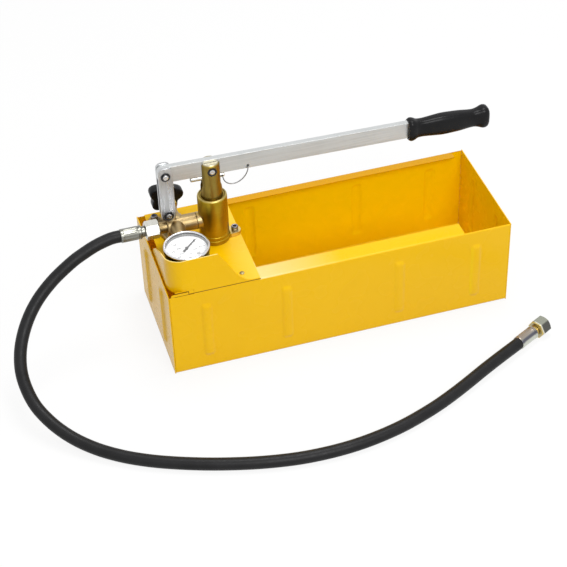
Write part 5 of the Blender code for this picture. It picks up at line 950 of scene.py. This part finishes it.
def needle():
    """The slim pointer with its broad tail, its domed hub and its shaft through the dial."""
    place = Matrix.Translation((GAUGE_X, GAUGE_Y, DIAL_TOP)) @ Matrix.Rotation(NEEDLE_ZERO, 4, "Z")
    half = [(x * MM, y * MM) for x, y in NEEDLE_OUTLINE]
    flat = half + [(x, -y) for x, y in reversed(half)]
    bm = bmesh.new()
    loft(bm, [[(x, y, z) for x, y in flat] for z in NEEDLE_HEIGHTS], place)
    turned(bm, [(radius * MM, -depth * MM) for radius, depth in HUB_OUTLINE], place, HUB_SIDES)
    shaped("gauge_needle_fine", bm, "dial_ink", "needle", ("gauge_needle",))


def ticks(marks):
    for k in range(0, DIAL_STEPS + 1, TICK_EVERY):
        start, width = SHORT_TICK if k % NUMBER_EVERY else LONG_TICK
        place = Matrix.Translation((GAUGE_X, GAUGE_Y, DIAL_TOP + MARK_LIFT))
        place = place @ Matrix.Rotation(NEEDLE_ZERO - DIAL_SWEEP * k / DIAL_STEPS, 4, "Z")
        flat_bar(marks, place @ Matrix.Translation((start, 0, 0)), TICK_END - start, width, TICK_HEIGHT)


def numbers(marks, last, every, full, radius, size):
    """A ring of numbers whose scale would reach the value called full at the end of the sweep."""
    for value in range(0, last + 1, every):
        angle = NEEDLE_ZERO - DIAL_SWEEP * value / full
        place = Matrix.Translation((GAUGE_X + radius * math.cos(angle), GAUGE_Y + radius * math.sin(angle),
                                    DIAL_TOP + NUMBER_LIFT))
        text_faces(marks, str(value), size, place @ Matrix.Rotation(math.pi, 4, "Z"))


def gauge():
    """Bezel with a rolled lip, lens, dial with ticks and numbers, and a dark ring under the lens that stands for
    the shade between the bezel's lip and the dial.
    """
    shaped("gauge_bezel_fine", gauge_lathed(BEZEL_OUTLINE, GAUGE_TOP, closed=True), "bezel_chrome",
           "tank_and_pump", ("gauge_bezel",))
    shaped("gauge_lens_fine", gauge_lathed(LENS_OUTLINE, LENS_TOP), "clear_lens", "tank_and_pump", ("gauge_lens",))
    inner, outer = SHADE_RING_RADII
    # A dark ring put where the gap between the bezel's lip and the dial lies in shade
    shade_ring = bmesh.new()
    turned(shade_ring, [(inner, SHADE_RING_BOTTOM), (outer, SHADE_RING_BOTTOM), (outer, SHADE_RING_TOP), (inner, SHADE_RING_TOP)],
           at(GAUGE_X, GAUGE_Y, 0), FINE_SIDES, closed=True)
    shaped("gauge_shade_ring", shade_ring, "wire_steel", "tank_and_pump")
    shaped("gauge_dial_fine", gauge_lathed(DIAL_OUTLINE, DIAL_TOP, closed=True), "dial_white", "tank_and_pump",
           ("gauge_dial",))
    needle()
    marks = bmesh.new()
    ticks(marks)
    numbers(marks, DIAL_STEPS, NUMBER_EVERY, DIAL_STEPS, NUMBER_RADIUS, NUMBER_SIZE)
    numbers(marks, INNER_SCALE_LAST, INNER_SCALE_EVERY, INNER_SCALE_END, INNER_RADIUS, INNER_SIZE)
    shaped("gauge_dial_marks", marks, "dial_ink", "tank_and_pump")


# Hose

def hose():
    """The rubber hose, smooth along its whole route."""
    route = [Vector(p) * MM for p in HOSE_ROUTE_MM]
    heading = Vector((math.cos(FAR_FITTING_ANGLE), math.sin(FAR_FITTING_ANGLE), 0))
    near = route[0] - Vector((HOSE_STRAIGHT, 0, 0))
    far = route[-1] - heading * HOSE_STRAIGHT
    points = [route[0], *smooth_line([near, *route[1:-1], far], HOSE_STEP), route[-1]]
    data = bpy.data.curves.new("hose_line", "CURVE")
    data.dimensions = "3D"
    data.bevel_depth = HOSE_DIAMETER / 2
    data.bevel_resolution = HOSE_ROUNDNESS
    data.use_fill_caps = True
    line = data.splines.new("POLY")
    line.points.add(len(points) - 1)
    for target, point in zip(line.points, points):
        target.co = (*point, 1)
    line.use_smooth = True
    obj = link(bpy.data.objects.new("hose_line", data))
    dress(obj, "hose_rubber", "tank_and_pump", ("hose",))
    length = sum((b - a).length for a, b in zip(points, points[1:]))
    return obj, tuple(points[0]), length


# Light and floor

def camera_share(tree):
    """1 for rays from the camera, a mirror or glass, so that all three see the pale background."""
    path = tree.nodes.new("ShaderNodeLightPath")
    total = path.outputs["Is Camera Ray"]
    for name in ("Is Glossy Ray", "Is Transmission Ray"):
        most = tree.nodes.new("ShaderNodeMath")
        most.operation = "MAXIMUM"
        tree.links.new(total, most.inputs[0])
        tree.links.new(path.outputs[name], most.inputs[1])
        total = most.outputs[0]
    return total


def add_world():
    world = bpy.data.worlds.new("studio")
    bpy.context.scene.world = world
    world.use_nodes = True
    tree = world.node_tree
    background = tree.nodes["Background"]
    background.inputs["Color"].default_value = (1, 1, 1, 1)
    level = tree.nodes.new("ShaderNodeMapRange")
    level.inputs["To Min"].default_value = WORLD_LEVEL
    level.inputs["To Max"].default_value = 1.0
    tree.links.new(camera_share(tree), level.inputs["Value"])
    tree.links.new(level.outputs["Result"], background.inputs["Strength"])


def add_floor():
    half = FLOOR_SIZE / 2
    mesh = bpy.data.meshes.new("floor")
    corners = [(x, y, -FLOOR_DROP) for x, y in ((-half, -half), (half, -half), (half, half), (-half, half))]
    mesh.from_pydata(corners, [], [(0, 1, 2, 3)])
    floor = link(bpy.data.objects.new("floor", mesh))
    material = bpy.data.materials.new("floor")
    material.use_nodes = True
    tree = material.node_tree
    tree.nodes.remove(tree.nodes["Principled BSDF"])
    matt = tree.nodes.new("ShaderNodeBsdfDiffuse")
    seen = camera_share(tree)
    pale = tree.nodes.new("ShaderNodeMapRange")
    pale.inputs["To Min"].default_value = FLOOR_BOUNCE
    pale.inputs["To Max"].default_value = FLOOR_PALE
    tree.links.new(seen, pale.inputs["Value"])
    tree.links.new(pale.outputs["Result"], matt.inputs["Color"])
    glow = tree.nodes.new("ShaderNodeEmission")
    glow.inputs["Color"].default_value = (1, 1, 1, 1)
    share = tree.nodes.new("ShaderNodeMapRange")
    share.inputs["To Max"].default_value = 1 - FLOOR_SHADOW_SHARE
    tree.links.new(seen, share.inputs["Value"])
    mix = tree.nodes.new("ShaderNodeMixShader")
    tree.links.new(share.outputs["Result"], mix.inputs["Fac"])
    tree.links.new(matt.outputs["BSDF"], mix.inputs[1])
    tree.links.new(glow.outputs["Emission"], mix.inputs[2])
    tree.links.new(mix.outputs["Shader"], tree.nodes["Material Output"].inputs["Surface"])
    mesh.materials.append(material)


def add_lamp(name, place, target, size, power):
    data = bpy.data.lights.new(name, "AREA")
    data.size = size
    data.energy = power
    lamp = link(bpy.data.objects.new(name, data))
    lamp.location = place
    lamp.rotation_euler = (Vector(target) - Vector(place)).to_track_quat("-Z", "Y").to_euler()


def add_lights():
    add_world()
    add_floor()
    for row in LAMPS:
        add_lamp(*row)


# The rest of the nodes: their own solids with soft edges

SHEET_EDGE = 0.0004
SHEETS = ("tank_trough", "tank_left_end", "tank_right_end", "console_plate")
WIRES = ("tether_wire", "suction_spring", "discharge_spring", "gauge_bourdon_tube", "suction_ball",
         "discharge_ball")
OTHER_FINISHES = {
    "lever_bar": "lever_steel", "near_link": "link_steel", "far_link": "link_steel", "lock_pin": "zinc_steel",
    "pump_cylinder": "barrel_brass", "piston_rod": "piston_brass", "cylinder_gland": "piston_brass",
    "relief_gland": "gland_brass", "tether_wire": "wire_steel", "near_union_nut": "bright_zinc",
    "near_hose_tail": "fitting_zinc", "far_hose_tail": "chromate", "outlet_nipple": "pale_brass",
    "far_union_nut": "far_zinc",
    "relief_spindle": "pin_steel", "gauge_case": "black_steel"}
SOFT_EDGES = {"lever_bar": 0.0006, "near_link": 0.0004, "far_link": 0.0004, "near_union_nut": 0.0004,
              "far_union_nut": 0.0004, "piston_rod": 0.0004, "lock_pin": 0.0003, "gauge_case": 0.0005,
              "relief_gland": 0.0004}


def main():
    add_camera()
    make_finishes()
    hose_piece, hose_exit, hose_length = hose()
    bolts()
    screws()
    pins()
    ferrules()
    grip()
    knob()
    gauge()
    corner_tab()
    cast("valve_manifold", "pale_brass")
    for node in frame["nodes"]:
        if node in DONE:
            continue
        finish = OTHER_FINISHES.get(node, SLOT_OF[node])
        if node in SHEETS:
            refined(node, finish, SHEET_EDGE, BEND_ANGLE)
        elif node in WIRES:
            wire = rounded(node, finish)
            if node in SPRING_WAYS:
                press(node, wire)
        else:
            refined(node, finish, SOFT_EDGES.get(node, 0.0))
    bpy.context.scene.view_settings.view_transform = "Standard"
    add_lights()


main()
